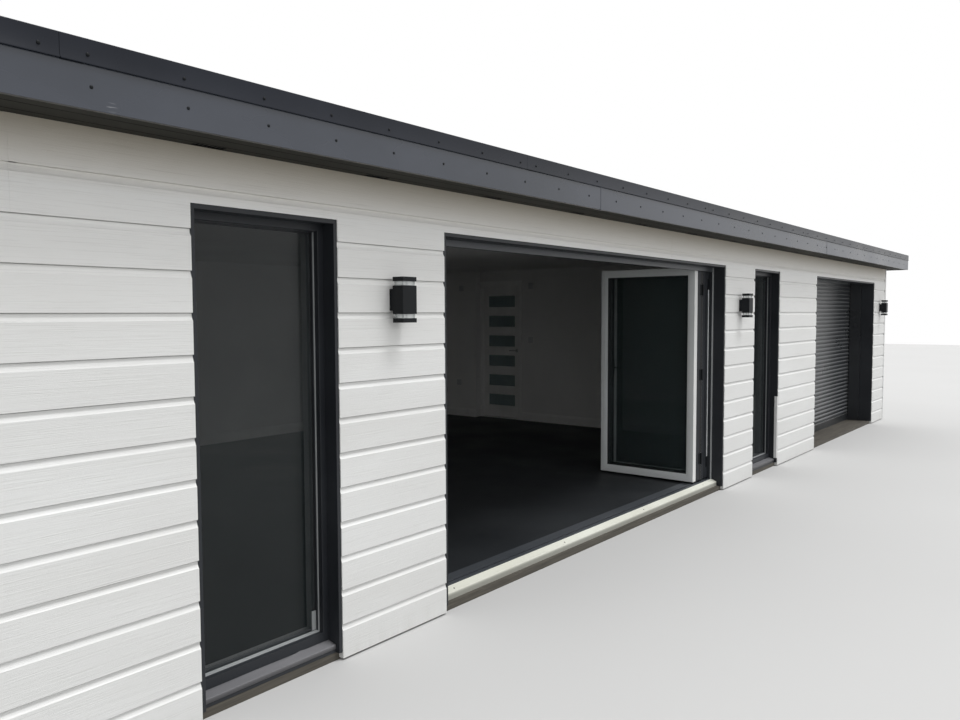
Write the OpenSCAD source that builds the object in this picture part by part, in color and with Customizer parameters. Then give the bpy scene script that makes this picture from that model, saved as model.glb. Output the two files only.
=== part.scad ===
// Garden office pod: a long, low timber room with a flat roof, white boarded walls, two tall
// windows, a folding glass door set, a roller shutter and a store behind an inner wall.
// Millimetres. +X runs along the front to the right, the front faces -Y, +Z is up.
// The origin is at ground level under the middle of the building.

/* [Front wall] */
// Plain wall left of the first window, and again between the second window and the shutter
plain_pier = 1340; // [900:10:2000]
// Wall on each side of the folding doors, where a lamp hangs
lamp_pier = 760; // [500:10:1200]
// Wall right of the roller shutter
end_pier = 720; // [400:10:1200]
// Width of each tall window opening
window_width = 760; // [500:10:1200]
// Width of the folding door opening
bifold_width = 3980; // [3000:10:5000]
// Width of the roller shutter opening
shutter_width = 2900; // [2000:10:3600]
// Height of every opening's head above the ground
head_height = 2115; // [1950:5:2250]

/* [Shell] */
// Depth of the building over its boarded faces
building_depth = 6000; // [4000:50:8000]
// Thickness of an outside wall, boards and lining included
wall_thickness = 250; // [210:10:320]
// Thickness of the boards and battens that hang in front of the base
skin_depth = 30; // [20:1:50]
// Height of the boards' lower edge above the ground
skin_foot = 10; // [5:1:40]
// Height of the base that the walls stand on
base_height = 40; // [25:5:150]
// Thickness of the dark floor laid in the main room
floor_build = 60; // [40:5:120]
// Height of wall over the openings, up to the roof's underside
header_height = 235; // [200:5:400]
// Thickness of the ceiling boards
ceiling_build = 30; // [12:1:60]
// Leg of the white angle on each outside corner
corner_leg = 40; // [25:1:80]
// Thickness of that angle
corner_sheet = 5; // [3:1:8]

/* [Roof] */
// Thickness of the roof, from its underside to its boarded top
roof_build = 200; // [120:5:300]
// Thickness of the roof membrane
membrane_build = 3; // [2:1:6]
// Overhang of the eaves in front and behind, wall face to fascia face
eaves_long = 270; // [100:5:500]
// Overhang of the eaves at both ends
eaves_end = 200; // [100:5:500]
// Thickness of the fascia board
fascia_sheet = 18; // [9:1:25]
// How far the fascia hangs below the soffit
fascia_drop = 8; // [0:1:30]
// Thickness of the soffit board
soffit_sheet = 10; // [6:1:15]
// Depth and half width of the grooves along the soffit
groove = 3; // [1:0.5:5]
// Distance from the wall face out to the first groove
groove_set = 60; // [50:5:75]
// Distance from one groove to the next
groove_pitch = 100; // [60:5:110]
// Length of each vent in the soffit, along the wall
vent_length = 140; // [60:5:250]
// Width of each vent
vent_width = 40; // [15:1:50]
// Distance from one vent to the next
vent_pitch = 920; // [500:10:1500]
// Distance from the middle of the building to the first vent on its right
vent_shift = 270; // [0:10:450]
// Height of the metal edge trim's face
trim_face = 82; // [50:1:150]
// Metal thickness of the edge trim
trim_sheet = 3; // [2:1:5]
// Width of the edge trim's flange on the roof
trim_flange = 90; // [50:5:150]
// Outward kick of the trim's lower edge, which throws off the drips
trim_kick = 6; // [2:1:12]

/* [Opening linings] */
// Thickness of the dark boards that line each opening
lining = 20; // [10:1:30]
// Distance from the wall face back to a lining's front edge
lining_set = 5; // [0:1:20]
// Distance from the wall face back to the folding door's frame
bifold_set = 110; // [95:1:150]
// Distance from the wall face back to the shutter's guides
guide_set = 176; // [60:1:200]
// Distance from the wall face back to a window's frame
window_set = 83; // [40:1:120]

/* [Windows] */
// Front to back depth of a window's frame
frame_depth = 121; // [80:1:140]
// Width of that frame at the sides and the head, from lining to glass
frame_width = 32; // [25:1:80]
// Height of the glass's lower edge above the main room's floor
glass_rise = 34; // [10:1:150]
// Height of the front of the sloping board below each window, above the base
drip_front = 38; // [10:1:55]
// Height of the back of that board, where it meets the frame
drip_back = 48; // [20:1:58]
// Thickness of a sealed glass unit
pane = 24; // [6:1:32]
// Distance from the front of a window's frame back to its glass
pane_set = 54; // [20:1:80]

/* [Folding doors] */
// Number of glass leaves in the folding set
leaf_count = 4; // [2:1:6]
// Thickness of a folding leaf
leaf_sheet = 65; // [50:1:80]
// Width of a leaf's stiles and rails
leaf_stile = 68; // [50:1:100]
// Width of the bead that holds the glass of a leaf
bead_width = 22; // [12:1:30]
// How far the bead lies back from the leaf's inside face
bead_set = 5; // [2:1:10]
// Width of the fixed jamb at each side of the set
jamb_width = 55; // [40:1:80]
// Front to back depth of the fixed jambs and head
jamb_depth = 70; // [60:1:90]
// Height of the leaves' lower edge above the main room's floor
leaf_rise = 20; // [10:1:60]
// Distance from the opening's head down to the leaves' upper edge
leaf_drop = 30; // [25:1:60]
// Distance from the front of the door frame back to the near ends of the folded leaves
stack_set = 30; // [25:1:50]
// Gap between two leaves folded outside face to outside face
outer_gap = 10; // [4:1:30]
// Gap between two leaves folded inside face to inside face, with the handle in it
inner_gap = 40; // [36:1:80]
// Gap between the first folded leaf and the jamb, closed by its hinges
jamb_gap = 5; // [3:1:20]
// Clearance beside and between the leaves when the set is shut
leaf_clearance = 3; // [2:1:6]
// Height of the head's lower edge in front of the leaves
head_lip = 60; // [30:1:90]
// Thickness of the head's web and lip
head_sheet = 20; // [10:1:30]
// Front to back size of the door sill, from its rounded edge to the door frame
sill_depth = 50; // [25:1:90]
// Fall of the sill, from the bottom track's edge to the top of its rounded edge
sill_fall = 18; // [5:1:40]
// Radius of that rounded edge
nose_radius = 12; // [4:1:18]
// Height of the bottom track's edges above the main room's floor
track_rise = 2; // [0:1:6]
// Step down from that edge to the back of the sill
sill_step = 3; // [1:1:8]
// How far the middle of the track stands above its edges
track_crown = 2; // [1:1:4]
// Depth of the groove that the leaves' guides run in
track_groove = 16; // [8:1:25]
// Width of that groove
track_slot = 14; // [8:1:20]
// Length of a hinge, and of its plates, on the folding leaves
leaf_hinge = 100; // [60:5:140]
// Distance from a leaf's foot, or from its top, to the nearest hinge
leaf_hinge_set = 150; // [80:5:250]
// How far a hinge plate reaches over a leaf's end
leaf_plate_reach = 25; // [15:1:32]
// Radius of that hinge's barrel
leaf_barrel = 8; // [5:1:12]
// Thickness of the plates on the leaves' ends
leaf_plate = 3; // [2:0.5:5]
// Width of a track roller and of a floor guide, across the set
roller_width = 60; // [30:5:80]
// Front to back size of a track roller
roller_depth = 32; // [20:1:40]
// Distance from the near ends of the folded leaves back to the rollers
roller_set = 4; // [0:1:10]
// Front to back size of a floor guide
guide_depth = 8; // [4:1:12]
// Height of the lever handles above the main room's floor
lever_height = 1035; // [900:5:1100]
// Length of a lever's grip
lever_length = 130; // [90:5:160]
// Distance from a leaf's face to the outside of the lever
lever_reach = 32; // [25:1:38]
// Thickness of the lever's grip
lever_grip = 10; // [6:1:14]
// Radius of the lever's neck
lever_neck = 8; // [5:1:10]
// Thickness of the lever's back plate
lever_plate = 5; // [3:1:8]
// Width of that plate
lever_plate_width = 28; // [20:1:40]
// Height of that plate
lever_plate_height = 150; // [100:5:220]

/* [Roller shutter] */
// Number of laths in the curtain above the bottom bar
lath_count = 36; // [20:1:50]
// Thickness of the curtain
lath_depth = 17; // [10:1:25]
// Distance from the wall face back to the front of the curtain
curtain_set = 335; // [260:1:400]
// Height of the bottom bar
bar_height = 105; // [60:1:150]
// How far each lath bulges outwards
lath_bulge = 6; // [2:1:10]
// Height of the groove where one lath hooks into the next
lath_groove = 7; // [3:1:15]
// Width of each guide rail's face
guide_width = 35; // [25:1:60]
// Depth of each guide's slot
guide_slot = 25; // [15:1:40]
// Metal behind that slot
guide_back = 13; // [3:1:20]
// Height of the lip along the top of the bottom bar
bar_lip = 12; // [8:1:20]
// How far that lip stands out
bar_lip_reach = 9; // [4:1:15]
// Clearance between the curtain and each side of the slot
slot_clearance = 5; // [2:1:10]
// Cut across the corners of the box that houses the coil
box_cut = 60; // [10:5:75]
// How far that box runs past the opening at each side
box_lap = 60; // [0:5:150]

/* [Inner wall and its door] */
// Distance from the inner wall's face in the store to the roller shutter's opening
store_margin = 435; // [160:5:1000]
// Thickness of the inner wall
partition = 100; // [75:5:150]
// How far the inner wall stands forward beyond the door's hinge side
wall_step = 120; // [60:5:250]
// Distance from the rear wall's inner face to the door leaf's hinge edge
door_set = 979; // [90:1:2900]
// Width of the inner door's leaf
door_width = 686; // [610:1:838]
// Height of the inner door's leaf
door_height = 1981; // [1900:1:2040]
// Thickness of the inner door's leaf
door_sheet = 35; // [30:1:45]
// Clearance at the hinge edge and the head
door_gap = 5; // [5:1:8]
// Clearance at the latch edge
latch_gap = 7; // [5:1:10]
// Clearance under the leaf
door_undercut = 8; // [5:1:15]
// Thickness of the door lining
door_lining = 30; // [20:1:40]
// Thickness of the stop the leaf shuts beside
stop_sheet = 15; // [10:1:20]
// How far the stop stands into the doorway
stop_reach = 12; // [8:1:15]
// Width of the trim around the doorway
architrave = 60; // [40:1:90]
// Thickness of that trim
architrave_sheet = 15; // [10:1:20]
// Edge of the lining left showing beside that trim
architrave_set = 10; // [5:1:12]
// Clearance between the leaf and its stop
stop_gap = 5; // [2:1:6]
// Number of panes in the inner door
slot_count = 6; // [3:1:6]
// Width of the leaf beside the panes
slot_side = 93; // [85:1:180]
// Height of each pane
slot_height = 175; // [100:5:250]
// Distance from one pane to the next
slot_pitch = 298; // [200:1:320]
// Height of solid leaf above the top pane
top_rail = 141; // [80:1:200]
// Thickness of each pane
slot_pane = 8; // [4:1:12]
// Length of the inner door's lever handles beyond their neck
handle_length = 115; // [90:5:140]
// Thickness of the round plate behind a handle
rose_sheet = 8; // [5:1:10]
// Height of the inner door's handles above the leaf's foot
handle_height = 1017; // [900:1:1050]
// Distance from the latch edge to a handle's neck
handle_set = 55; // [45:1:70]
// Distance from the leaf's face to the outside of a handle
handle_reach = 44; // [35:1:60]
// Radius of the round plate behind a handle
rose_radius = 26; // [20:1:32]
// Number of hinges on the inner door
hinge_count = 3; // [2:1:4]
// Height of one hinge
hinge_height = 90; // [60:1:120]
// Distance from the leaf's foot, or from its top, to the nearest hinge
hinge_set = 180; // [120:5:250]
// Width of a hinge plate
hinge_plate = 29; // [20:1:32]
// Radius of a hinge barrel
barrel_radius = 6; // [5:0.5:8]
// Gap between a hinge barrel and the face or end it hangs beside
barrel_gap = 1; // [0.5:0.5:2]
// Radius of a hinge pin
pin_radius = 3; // [2:0.5:4]
// Running clearance round a hinge pin
pin_clearance = 0.08; // [0.02:0.01:0.1]
// Sheet thickness of a hinge plate
plate = 2; // [1:0.5:2.5]

/* [Skirting] */
// Height of the skirting in the main room
skirting_height = 119; // [70:1:170]
// Thickness of the skirting
skirting_sheet = 18; // [12:1:25]
// Height of the moulded part along its top
skirting_mould = 24; // [12:1:40]

/* [Wall lamps] */
// Height of a lamp's middle above the ground
lamp_height = 1744; // [1500:5:2000]
// Width of a lamp along the wall
lamp_width = 100; // [60:1:160]
// Front to back depth of a lamp's body
lamp_depth = 72; // [50:1:120]
// Gap between the wall and the lamp's body
lamp_reach = 30; // [10:1:60]
// Height of the dark middle of a lamp
lamp_body = 143; // [80:1:220]
// Height of each clear ring
lamp_ring = 21; // [10:1:40]
// Height of each cap
lamp_cap = 22; // [5:1:40]
// Thickness of the four posts that carry each cap
lamp_post = 5; // [3:1:8]
// How far the clear rings sit inside the caps
ring_inset = 6; // [2:1:15]
// How far the wall plate of a lamp sits inside its sides
lamp_plate_inset = 8; // [4:1:20]
// Height of that plate
lamp_plate = 110; // [60:1:140]

/* [Hidden] */
wall_top = head_height + header_height;
total_length =
  2 * (plain_pier + lamp_pier + window_width) + bifold_width + shutter_width + end_pier;
x_left = -total_length / 2;
x_right = total_length / 2;
x_window_1 = x_left + plain_pier;
x_pier_1 = x_window_1 + window_width;
x_bifold = x_pier_1 + lamp_pier;
x_pier_2 = x_bifold + bifold_width;
x_window_2 = x_pier_2 + lamp_pier;
x_pier_3 = x_window_2 + window_width;
x_shutter = x_pier_3 + plain_pier;
x_pier_4 = x_shutter + shutter_width;
y_front = -building_depth / 2;
y_rear = building_depth / 2;
y_room = y_front + wall_thickness;
floor_level = base_height + floor_build;
leaf_foot = floor_level + leaf_rise;
track_edge = floor_level + track_rise;
track_top = track_edge + track_crown;
glass_foot = floor_level + glass_rise;
y_window = y_front + window_set;
ceiling_level = wall_top - ceiling_build;
leaf_top = head_height - leaf_drop;
roof_top = wall_top + roof_build;
skin_top = roof_top + membrane_build;
soffit_level = wall_top - soffit_sheet;
fascia_foot = soffit_level - fascia_drop;
x_fascia = x_right + eaves_end;
y_fascia = y_rear + eaves_long;
x_store = x_shutter - store_margin;
x_partition = x_store - partition;

// Folding leaves, from the right jamb to the camera side
leaf_width = (bifold_width - 2 * jamb_width - (leaf_count + 1) * leaf_clearance) / leaf_count;
x_jamb = x_pier_2 - jamb_width;
function stack_gap(i) = i % 2 == 0 ? outer_gap : inner_gap;
function leaf_x(i) =
  i == 0 ? x_jamb - jamb_gap - leaf_sheet : leaf_x(i - 1) - stack_gap(i - 1) - leaf_sheet;
leaf_hinges = [
  leaf_foot + leaf_hinge_set,
  (leaf_foot + leaf_top - leaf_hinge) / 2,
  leaf_top - leaf_hinge_set - leaf_hinge
];
y_stack = y_front + bifold_set + stack_set;
y_fold = y_stack + leaf_width;

// Shutter
curtain_foot = base_height + bar_height;
lath_pitch = (head_height - curtain_foot) / lath_count;
y_curtain = y_front + curtain_set;

// Inner door: the leaf lies flush with the store side and swings into the store
y_hinge = y_rear - wall_thickness - door_set;
y_latch = y_hinge - door_width;
door_foot = floor_level + door_undercut;
door_top = door_foot + door_height;
x_leaf = x_store - door_sheet;
y_pin = y_hinge + door_gap / 2;
x_pin = x_store + barrel_radius + barrel_gap;
x_plate = x_store - barrel_gap;
knuckle = hinge_height / 3;
knuckle_gap = 0.5;
y_lining = y_latch - latch_gap - door_lining;
y_trim = y_latch - latch_gap - architrave_set - architrave;
y_step = y_hinge + door_gap + architrave_set;

// Plain block between two corners
module block(a, b) {
  translate(a) cube(b - a);
}
// Runs a (y, z) outline along X
module along_x(a, b) {
  translate([a, 0, 0]) rotate([90, 0, 90]) linear_extrude(b - a) children();
}
// Runs an (x, z) outline along Y
module along_y(a, b) {
  translate([0, b, 0]) rotate([90, 0, 0]) linear_extrude(b - a) children();
}
// Wall outline: the boards hang past the base that the wall stands on
module wall_outline(face, way, top) {
  polygon([
    [face, skin_foot], [face + way * skin_depth, skin_foot],
    [face + way * skin_depth, base_height], [face + way * wall_thickness, base_height],
    [face + way * wall_thickness, top], [face, top]
  ]);
}
module front_pier(a, b) {
  color("white") along_x(a, b) wall_outline(y_front, 1, head_height);
}

// Base and floor
module base_floor() {
  color("gray") block([x_left + skin_depth, y_front + skin_depth, 0],
    [x_right - skin_depth, y_rear - skin_depth, base_height]);
}
// The laid floor runs on between the piers to the windows' frames
module room_floor() {
  color("dimgray") {
    block([x_left + wall_thickness, y_room, base_height],
      [x_partition, y_rear - wall_thickness, floor_level]);
    for (x = [x_window_1, x_window_2])
      block([x, y_window + frame_depth, base_height], [x + window_width, y_room + 1, floor_level]);
  }
}

// Outside walls
module front_pier_left_end() { front_pier(x_left, x_window_1); }
module front_pier_lamp_left() { front_pier(x_pier_1, x_bifold); }
module front_pier_lamp_right() { front_pier(x_pier_2, x_window_2); }
module front_pier_plain() { front_pier(x_pier_3, x_shutter); }
module front_pier_right_end() { front_pier(x_pier_4, x_right); }
module front_header() {
  color("white") block([x_left, y_front, head_height], [x_right, y_room, wall_top]);
}
module rear_wall() {
  color("white") along_x(x_left, x_right) wall_outline(y_rear, -1, wall_top);
}
module end_walls() {
  color("white")
    for (s = [-1, 1])
      along_y(y_room, y_rear - wall_thickness) wall_outline(s * x_right, -s, wall_top);
}
// White angle lapped round each outside corner
module corner_trims() {
  color("white")
    for (sx = [-1, 1], sy = [-1, 1])
      translate([sx * x_right, sy * y_rear, skin_foot])
        linear_extrude(soffit_level - skin_foot)
          polygon([
            [-sx * corner_leg, 0], [-sx * corner_leg, sy * corner_sheet],
            [sx * corner_sheet, sy * corner_sheet], [sx * corner_sheet, -sy * corner_leg],
            [0, -sy * corner_leg], [0, 0]
          ]);
}

// Roof and eaves
module ceilings() {
  color("white") {
    block([x_left + wall_thickness, y_room, ceiling_level],
      [x_partition, y_rear - wall_thickness, wall_top]);
    block([x_store, y_room, ceiling_level],
      [x_right - wall_thickness, y_rear - wall_thickness, wall_top]);
  }
}
module roof_panel() {
  color("gray") block([-x_fascia + fascia_sheet, -y_fascia + fascia_sheet, wall_top],
    [x_fascia - fascia_sheet, y_fascia - fascia_sheet, roof_top]);
}
module roof_membrane() {
  color("dimgray") block([-x_fascia, -y_fascia, roof_top], [x_fascia, y_fascia, skin_top]);
}
module fascia_long() {
  color("slategray")
    for (s = [-1, 1])
      block([-x_fascia, s * (y_fascia - fascia_sheet / 2) - fascia_sheet / 2, fascia_foot],
        [x_fascia, s * (y_fascia - fascia_sheet / 2) + fascia_sheet / 2, roof_top]);
}
module fascia_ends() {
  color("slategray")
    for (s = [-1, 1])
      block([s * (x_fascia - fascia_sheet / 2) - fascia_sheet / 2, -y_fascia + fascia_sheet, fascia_foot],
        [s * (x_fascia - fascia_sheet / 2) + fascia_sheet / 2, y_fascia - fascia_sheet, roof_top]);
}
// Soffit board outline: as many shallow grooves as fit run along its underside
module soffit_outline(face, way, reach) {
  last = floor((reach - groove_set - groove) / groove_pitch);
  grooves = [
    for (i = [0:last], side = [-1, 0, 1])
      [face + way * (groove_set + i * groove_pitch + side * groove),
        soffit_level + (side == 0 ? groove : 0)]
  ];
  polygon(concat([[face, wall_top], [face, soffit_level]], grooves,
    [[face + way * reach, soffit_level], [face + way * reach, wall_top]]));
}
// Vents between the wall and the first groove, over the length of the walls
module soffit_long() {
  y_vent = y_rear + groove_set / 2;
  vents = ceil(x_right / vent_pitch);
  places = [
    for (i = [-vents:vents])
      let (x = vent_shift + i * vent_pitch)
        if (abs(x) < x_right - vent_length) x
  ];
  color("dimgray")
    for (s = [-1, 1])
      difference() {
        along_x(-x_fascia + fascia_sheet, x_fascia - fascia_sheet)
          soffit_outline(s * y_rear, s, eaves_long - fascia_sheet);
        for (x = places)
          block([x - vent_length / 2, s * y_vent - vent_width / 2, soffit_level - 1],
            [x + vent_length / 2, s * y_vent + vent_width / 2, wall_top + 1]);
      }
}
module soffit_ends() {
  color("dimgray")
    for (s = [-1, 1])
      along_y(y_front, y_rear) soffit_outline(s * x_right, s, eaves_end - fascia_sheet);
}
// Folded edge trim: flange on the membrane, face over the fascia, kicked lower edge
module trim_outline(face, way) {
  foot = skin_top + trim_sheet - trim_face;
  polygon([
    [face - way * trim_flange, skin_top], [face - way * trim_flange, skin_top + trim_sheet],
    [face + way * trim_sheet, skin_top + trim_sheet],
    [face + way * trim_sheet, foot + 2 * trim_kick],
    [face + way * (trim_sheet + trim_kick), foot + trim_kick / 2],
    [face + way * (trim_kick + trim_sheet), foot],
    [face + way * trim_kick, foot],
    [face, foot + 2 * trim_kick],
    [face, skin_top]
  ]);
}
module edge_trim_long() {
  color("dimgray")
    for (s = [-1, 1])
      along_x(-x_fascia - trim_sheet, x_fascia + trim_sheet) trim_outline(s * y_fascia, s);
}
module edge_trim_ends() {
  color("dimgray")
    for (s = [-1, 1]) {
      along_y(-y_fascia, y_fascia) intersection() {
        trim_outline(s * x_fascia, s);
        translate([-2 * x_fascia, 0]) square([4 * x_fascia, skin_top]);
      }
      along_y(-y_fascia + trim_flange, y_fascia - trim_flange) trim_outline(s * x_fascia, s);
    }
}

// Dark linings of the four openings
module jamb_pair(a, b, back) {
  for (x = [a, b - lining])
    block([x, y_front + lining_set, base_height], [x + lining, y_front + back, head_height - lining]);
}
module reveal_jambs() {
  color("dimgray") {
    jamb_pair(x_window_1, x_pier_1, window_set);
    jamb_pair(x_bifold, x_pier_2, bifold_set);
    jamb_pair(x_window_2, x_pier_3, window_set);
    jamb_pair(x_shutter, x_pier_4, guide_set);
  }
}
module head_lining(a, b, back) {
  block([a, y_front + lining_set, head_height - lining], [b, y_front + back, head_height]);
}
module reveal_heads() {
  color("dimgray") {
    head_lining(x_window_1, x_pier_1, window_set);
    head_lining(x_bifold, x_pier_2, bifold_set);
    head_lining(x_window_2, x_pier_3, window_set);
    head_lining(x_shutter, x_pier_4, guide_set);
  }
}

// Tall windows: a deep frame with one pane, and a sloping board in front of its foot
module window_ring(a, b) {
  side = lining + frame_width;
  difference() {
    block([a, y_window, base_height], [b, y_window + frame_depth, head_height]);
    block([a + side, y_window - 1, glass_foot],
      [b - side, y_window + frame_depth + 1, head_height - side]);
  }
  along_x(a + lining, b - lining)
    polygon([
      [y_front + skin_depth, base_height], [y_front + skin_depth, base_height + drip_front],
      [y_window, base_height + drip_back], [y_window, base_height]
    ]);
}
module window_frames() {
  color("dimgray") {
    window_ring(x_window_1, x_pier_1);
    window_ring(x_window_2, x_pier_3);
  }
}
module window_pane(a, b) {
  side = lining + frame_width;
  block([a + side, y_window + pane_set, glass_foot],
    [b - side, y_window + pane_set + pane, head_height - side]);
}
module window_panes() {
  color("lightblue", 0.4) {
    window_pane(x_window_1, x_pier_1);
    window_pane(x_window_2, x_pier_3);
  }
}

// Folding doors: fixed jambs, head and sill
module bifold_jambs() {
  color("dimgray")
    for (x = [x_bifold, x_jamb])
      block([x, y_front + bifold_set, base_height],
        [x + jamb_width, y_front + bifold_set + jamb_depth, head_height - head_sheet]);
}
module bifold_head_track() {
  y = y_front + bifold_set;
  color("dimgray") {
    block([x_bifold, y, head_height - head_sheet], [x_pier_2, y + jamb_depth, head_height]);
    block([x_bifold + jamb_width, y, head_height - head_lip],
      [x_jamb, y + head_sheet, head_height - head_sheet + 1]);
  }
}
// Pale door sill with a sloping top and a rounded front edge
module bifold_sill() {
  y_back = y_front + bifold_set;
  y = y_back - sill_depth;
  nose_top = track_edge - sill_fall;
  nose = [
    for (a = [0:15:90]) [y + nose_radius * (1 - cos(a)), nose_top - nose_radius * (1 - sin(a))]
  ];
  color("beige")
    along_x(x_bifold + lining, x_pier_2 - lining)
      polygon(concat([[y, base_height]], nose,
        [[y_back, track_edge - sill_step], [y_back, base_height]]));
}
// Low dark track that the leaves are guided in
module bifold_bottom_track() {
  y = y_front + bifold_set;
  y_groove = y + (jamb_depth - track_slot) / 2;
  color("dimgray")
    along_x(x_bifold + jamb_width, x_jamb)
      polygon([
        [y, base_height], [y, track_edge], [y + track_slot, track_top], [y_groove, track_top],
        [y_groove, track_top - track_groove], [y_groove + track_slot, track_top - track_groove],
        [y_groove + track_slot, track_top], [y + jamb_depth, track_edge], [y + jamb_depth, floor_level],
        [y_room, floor_level], [y_room, base_height]
      ]);
}
// One leaf's frame, folded at right angles to the wall, with its glazing bead set back
module leaf_ring(i) {
  inside = i % 2 == 0 ? leaf_x(i) + leaf_sheet : leaf_x(i);
  bead = leaf_stile - bead_width;
  difference() {
    block([leaf_x(i), y_stack, leaf_foot], [leaf_x(i) + leaf_sheet, y_fold, leaf_top]);
    block([leaf_x(i) - 1, y_stack + leaf_stile, leaf_foot + leaf_stile],
      [leaf_x(i) + leaf_sheet + 1, y_fold - leaf_stile, leaf_top - leaf_stile]);
    block([inside - bead_set, y_stack + bead, leaf_foot + bead],
      [inside + bead_set, y_fold - bead, leaf_top - bead]);
  }
}
module bifold_leaf_frames() {
  color("dimgray") for (i = [0:leaf_count - 1]) leaf_ring(i);
}
module bifold_panes() {
  color("lightblue", 0.4)
    for (i = [0:leaf_count - 1])
      block([leaf_x(i) + leaf_sheet / 2 - pane / 2, y_stack + leaf_stile, leaf_foot + leaf_stile],
        [leaf_x(i) + leaf_sheet / 2 + pane / 2, y_fold - leaf_stile, leaf_top - leaf_stile]);
}
// Barrel hinge on two leaf ends, with the plates lying on the ends
module end_hinge(x, y, way, gap) {
  reach = gap / 2 + leaf_plate_reach;
  for (z = leaf_hinges)
    translate([x, y, z]) {
      block([-reach, min(0, way * leaf_plate), 0], [reach, max(0, way * leaf_plate), leaf_hinge]);
      translate([0, way * (leaf_barrel + barrel_gap), 0]) cylinder(r = leaf_barrel, h = leaf_hinge, $fn = 32);
    }
}
// Hinges, track rollers, floor guides and the lever of the folding set
module bifold_hardware() {
  y_guide = y_front + bifold_set + jamb_depth / 2;
  half = roller_width / 2;
  y_roller = y_stack + roller_set;
  y_guide_front = y_guide - guide_depth / 2;
  color("black") {
    for (i = [0:2:leaf_count - 2])
      end_hinge(leaf_x(i) - outer_gap / 2, y_fold, 1, outer_gap);
    for (i = [1:2:leaf_count - 2])
      end_hinge(leaf_x(i) - inner_gap / 2, y_stack, -1, inner_gap);
    for (x = [leaf_x(1) - inner_gap / 2, leaf_x(leaf_count - 1) + leaf_sheet / 2]) {
      block([x - half, y_roller, leaf_top],
        [x + half, y_roller + roller_depth, head_height - head_sheet]);
      block([x - half, y_guide_front, track_top + 1 - track_groove],
        [x + half, y_guide_front + guide_depth, leaf_foot]);
    }
    for (z = leaf_hinges)
      block([leaf_x(0) + leaf_sheet, y_stack, z], [x_jamb, y_stack + leaf_plate_reach, z + leaf_hinge]);
    lever();
  }
}
// Lever handle on the inside face of the second leaf: back plate, neck and grip
module lever() {
  translate([leaf_x(1), y_fold - leaf_stile / 2, floor_level + lever_height]) {
    block([-lever_plate, -lever_plate_width / 2, -lever_plate_height / 2],
      [0, lever_plate_width / 2, lever_plate_height / 2]);
    rotate([0, -90, 0]) cylinder(r = lever_neck, h = lever_reach - lever_grip, $fn = 32);
    block([-lever_reach, lever_neck - lever_length, -lever_neck],
      [lever_grip - lever_reach, lever_neck, lever_neck]);
  }
}

// Roller shutter: a curtain of hooked laths between two guides, with its coil in a box
module shutter_curtain() {
  steps = 5;
  rise = lath_pitch - lath_groove;
  front = [
    for (i = [0:lath_count - 1], t = [0:steps + 1])
      let (z = curtain_foot + i * lath_pitch, u = min(t, steps) / steps)
      t <= steps
        ? [y_curtain + lath_bulge * pow(2 * u - 1, 2), z + u * rise]
        : [y_curtain + lath_bulge * 2, z + rise + lath_groove / 2]
  ];
  color("dimgray")
    along_x(x_shutter + guide_width - guide_slot + slot_clearance,
      x_pier_4 - guide_width + guide_slot - slot_clearance)
      polygon(concat(front, [[y_curtain + lath_bulge, head_height],
        [y_curtain + lath_depth, head_height], [y_curtain + lath_depth, curtain_foot]]));
}
module shutter_bottom_bar() {
  color("dimgray") {
    along_x(x_shutter + guide_width - guide_slot + slot_clearance,
      x_pier_4 - guide_width + guide_slot - slot_clearance)
      polygon([
        [y_curtain, base_height], [y_curtain, curtain_foot],
        [y_curtain + lath_depth, curtain_foot], [y_curtain + lath_depth, base_height]
      ]);
    along_x(x_shutter + guide_width + slot_clearance, x_pier_4 - guide_width - slot_clearance)
      polygon([
        [y_curtain + 1, curtain_foot - bar_lip],
        [y_curtain - bar_lip_reach, curtain_foot - bar_lip * 3 / 4],
        [y_curtain - bar_lip_reach, curtain_foot - bar_lip / 3],
        [y_curtain + 1, curtain_foot]
      ]);
  }
}
module guide_rail(x, slot_x) {
  difference() {
    block([x, y_front + guide_set, base_height],
      [x + guide_width, y_curtain + lath_depth + slot_clearance + guide_back, head_height]);
    block([slot_x, y_curtain - slot_clearance, base_height - 1],
      [slot_x + guide_slot + 1, y_curtain + lath_depth + slot_clearance, head_height + 1]);
  }
}
module shutter_guides() {
  color("dimgray") {
    guide_rail(x_shutter, x_shutter + guide_width - guide_slot);
    guide_rail(x_pier_4 - guide_width, x_pier_4 - guide_width - 1);
  }
}
// The box for the coil fills the height between the opening's head and the ceiling
module shutter_box() {
  side = ceiling_level - head_height;
  color("silver")
    along_x(x_shutter - box_lap, x_pier_4 + box_lap)
      polygon([
        [y_room, head_height], [y_room + side - box_cut, head_height],
        [y_room + side, head_height + box_cut], [y_room + side, ceiling_level - box_cut],
        [y_room + side - box_cut, ceiling_level], [y_room, ceiling_level]
      ]);
}

// Inner wall, split beside and over its doorway
module partition_sides() {
  color("white") {
    block([x_partition, y_room, base_height], [x_store, y_lining, wall_top]);
    block([x_partition, y_hinge + door_gap + door_lining, base_height],
      [x_store, y_rear - wall_thickness, wall_top]);
    block([x_partition - wall_step, y_step, floor_level],
      [x_partition, y_rear - wall_thickness, ceiling_level]);
  }
}
module partition_head() {
  color("white")
    block([x_partition, y_lining, door_top + door_gap + door_lining],
      [x_store, y_hinge + door_gap + door_lining, wall_top]);
}
// Skirting outline: a flat board with a stepped and rounded top edge
module skirting_outline(face, way) {
  top = floor_level + skirting_height;
  step = skirting_sheet / 3;
  crest = [
    for (a = [0:30:90])
      [face + way * step * (1 + cos(a)), top - skirting_mould / 2 + skirting_mould / 2 * sin(a)]
  ];
  polygon(concat([
    [face, floor_level], [face + way * skirting_sheet, floor_level],
    [face + way * skirting_sheet, top - skirting_mould],
    [face + way * 2 * step, top - skirting_mould + step]
  ], crest, [[face, top]]));
}
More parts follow.
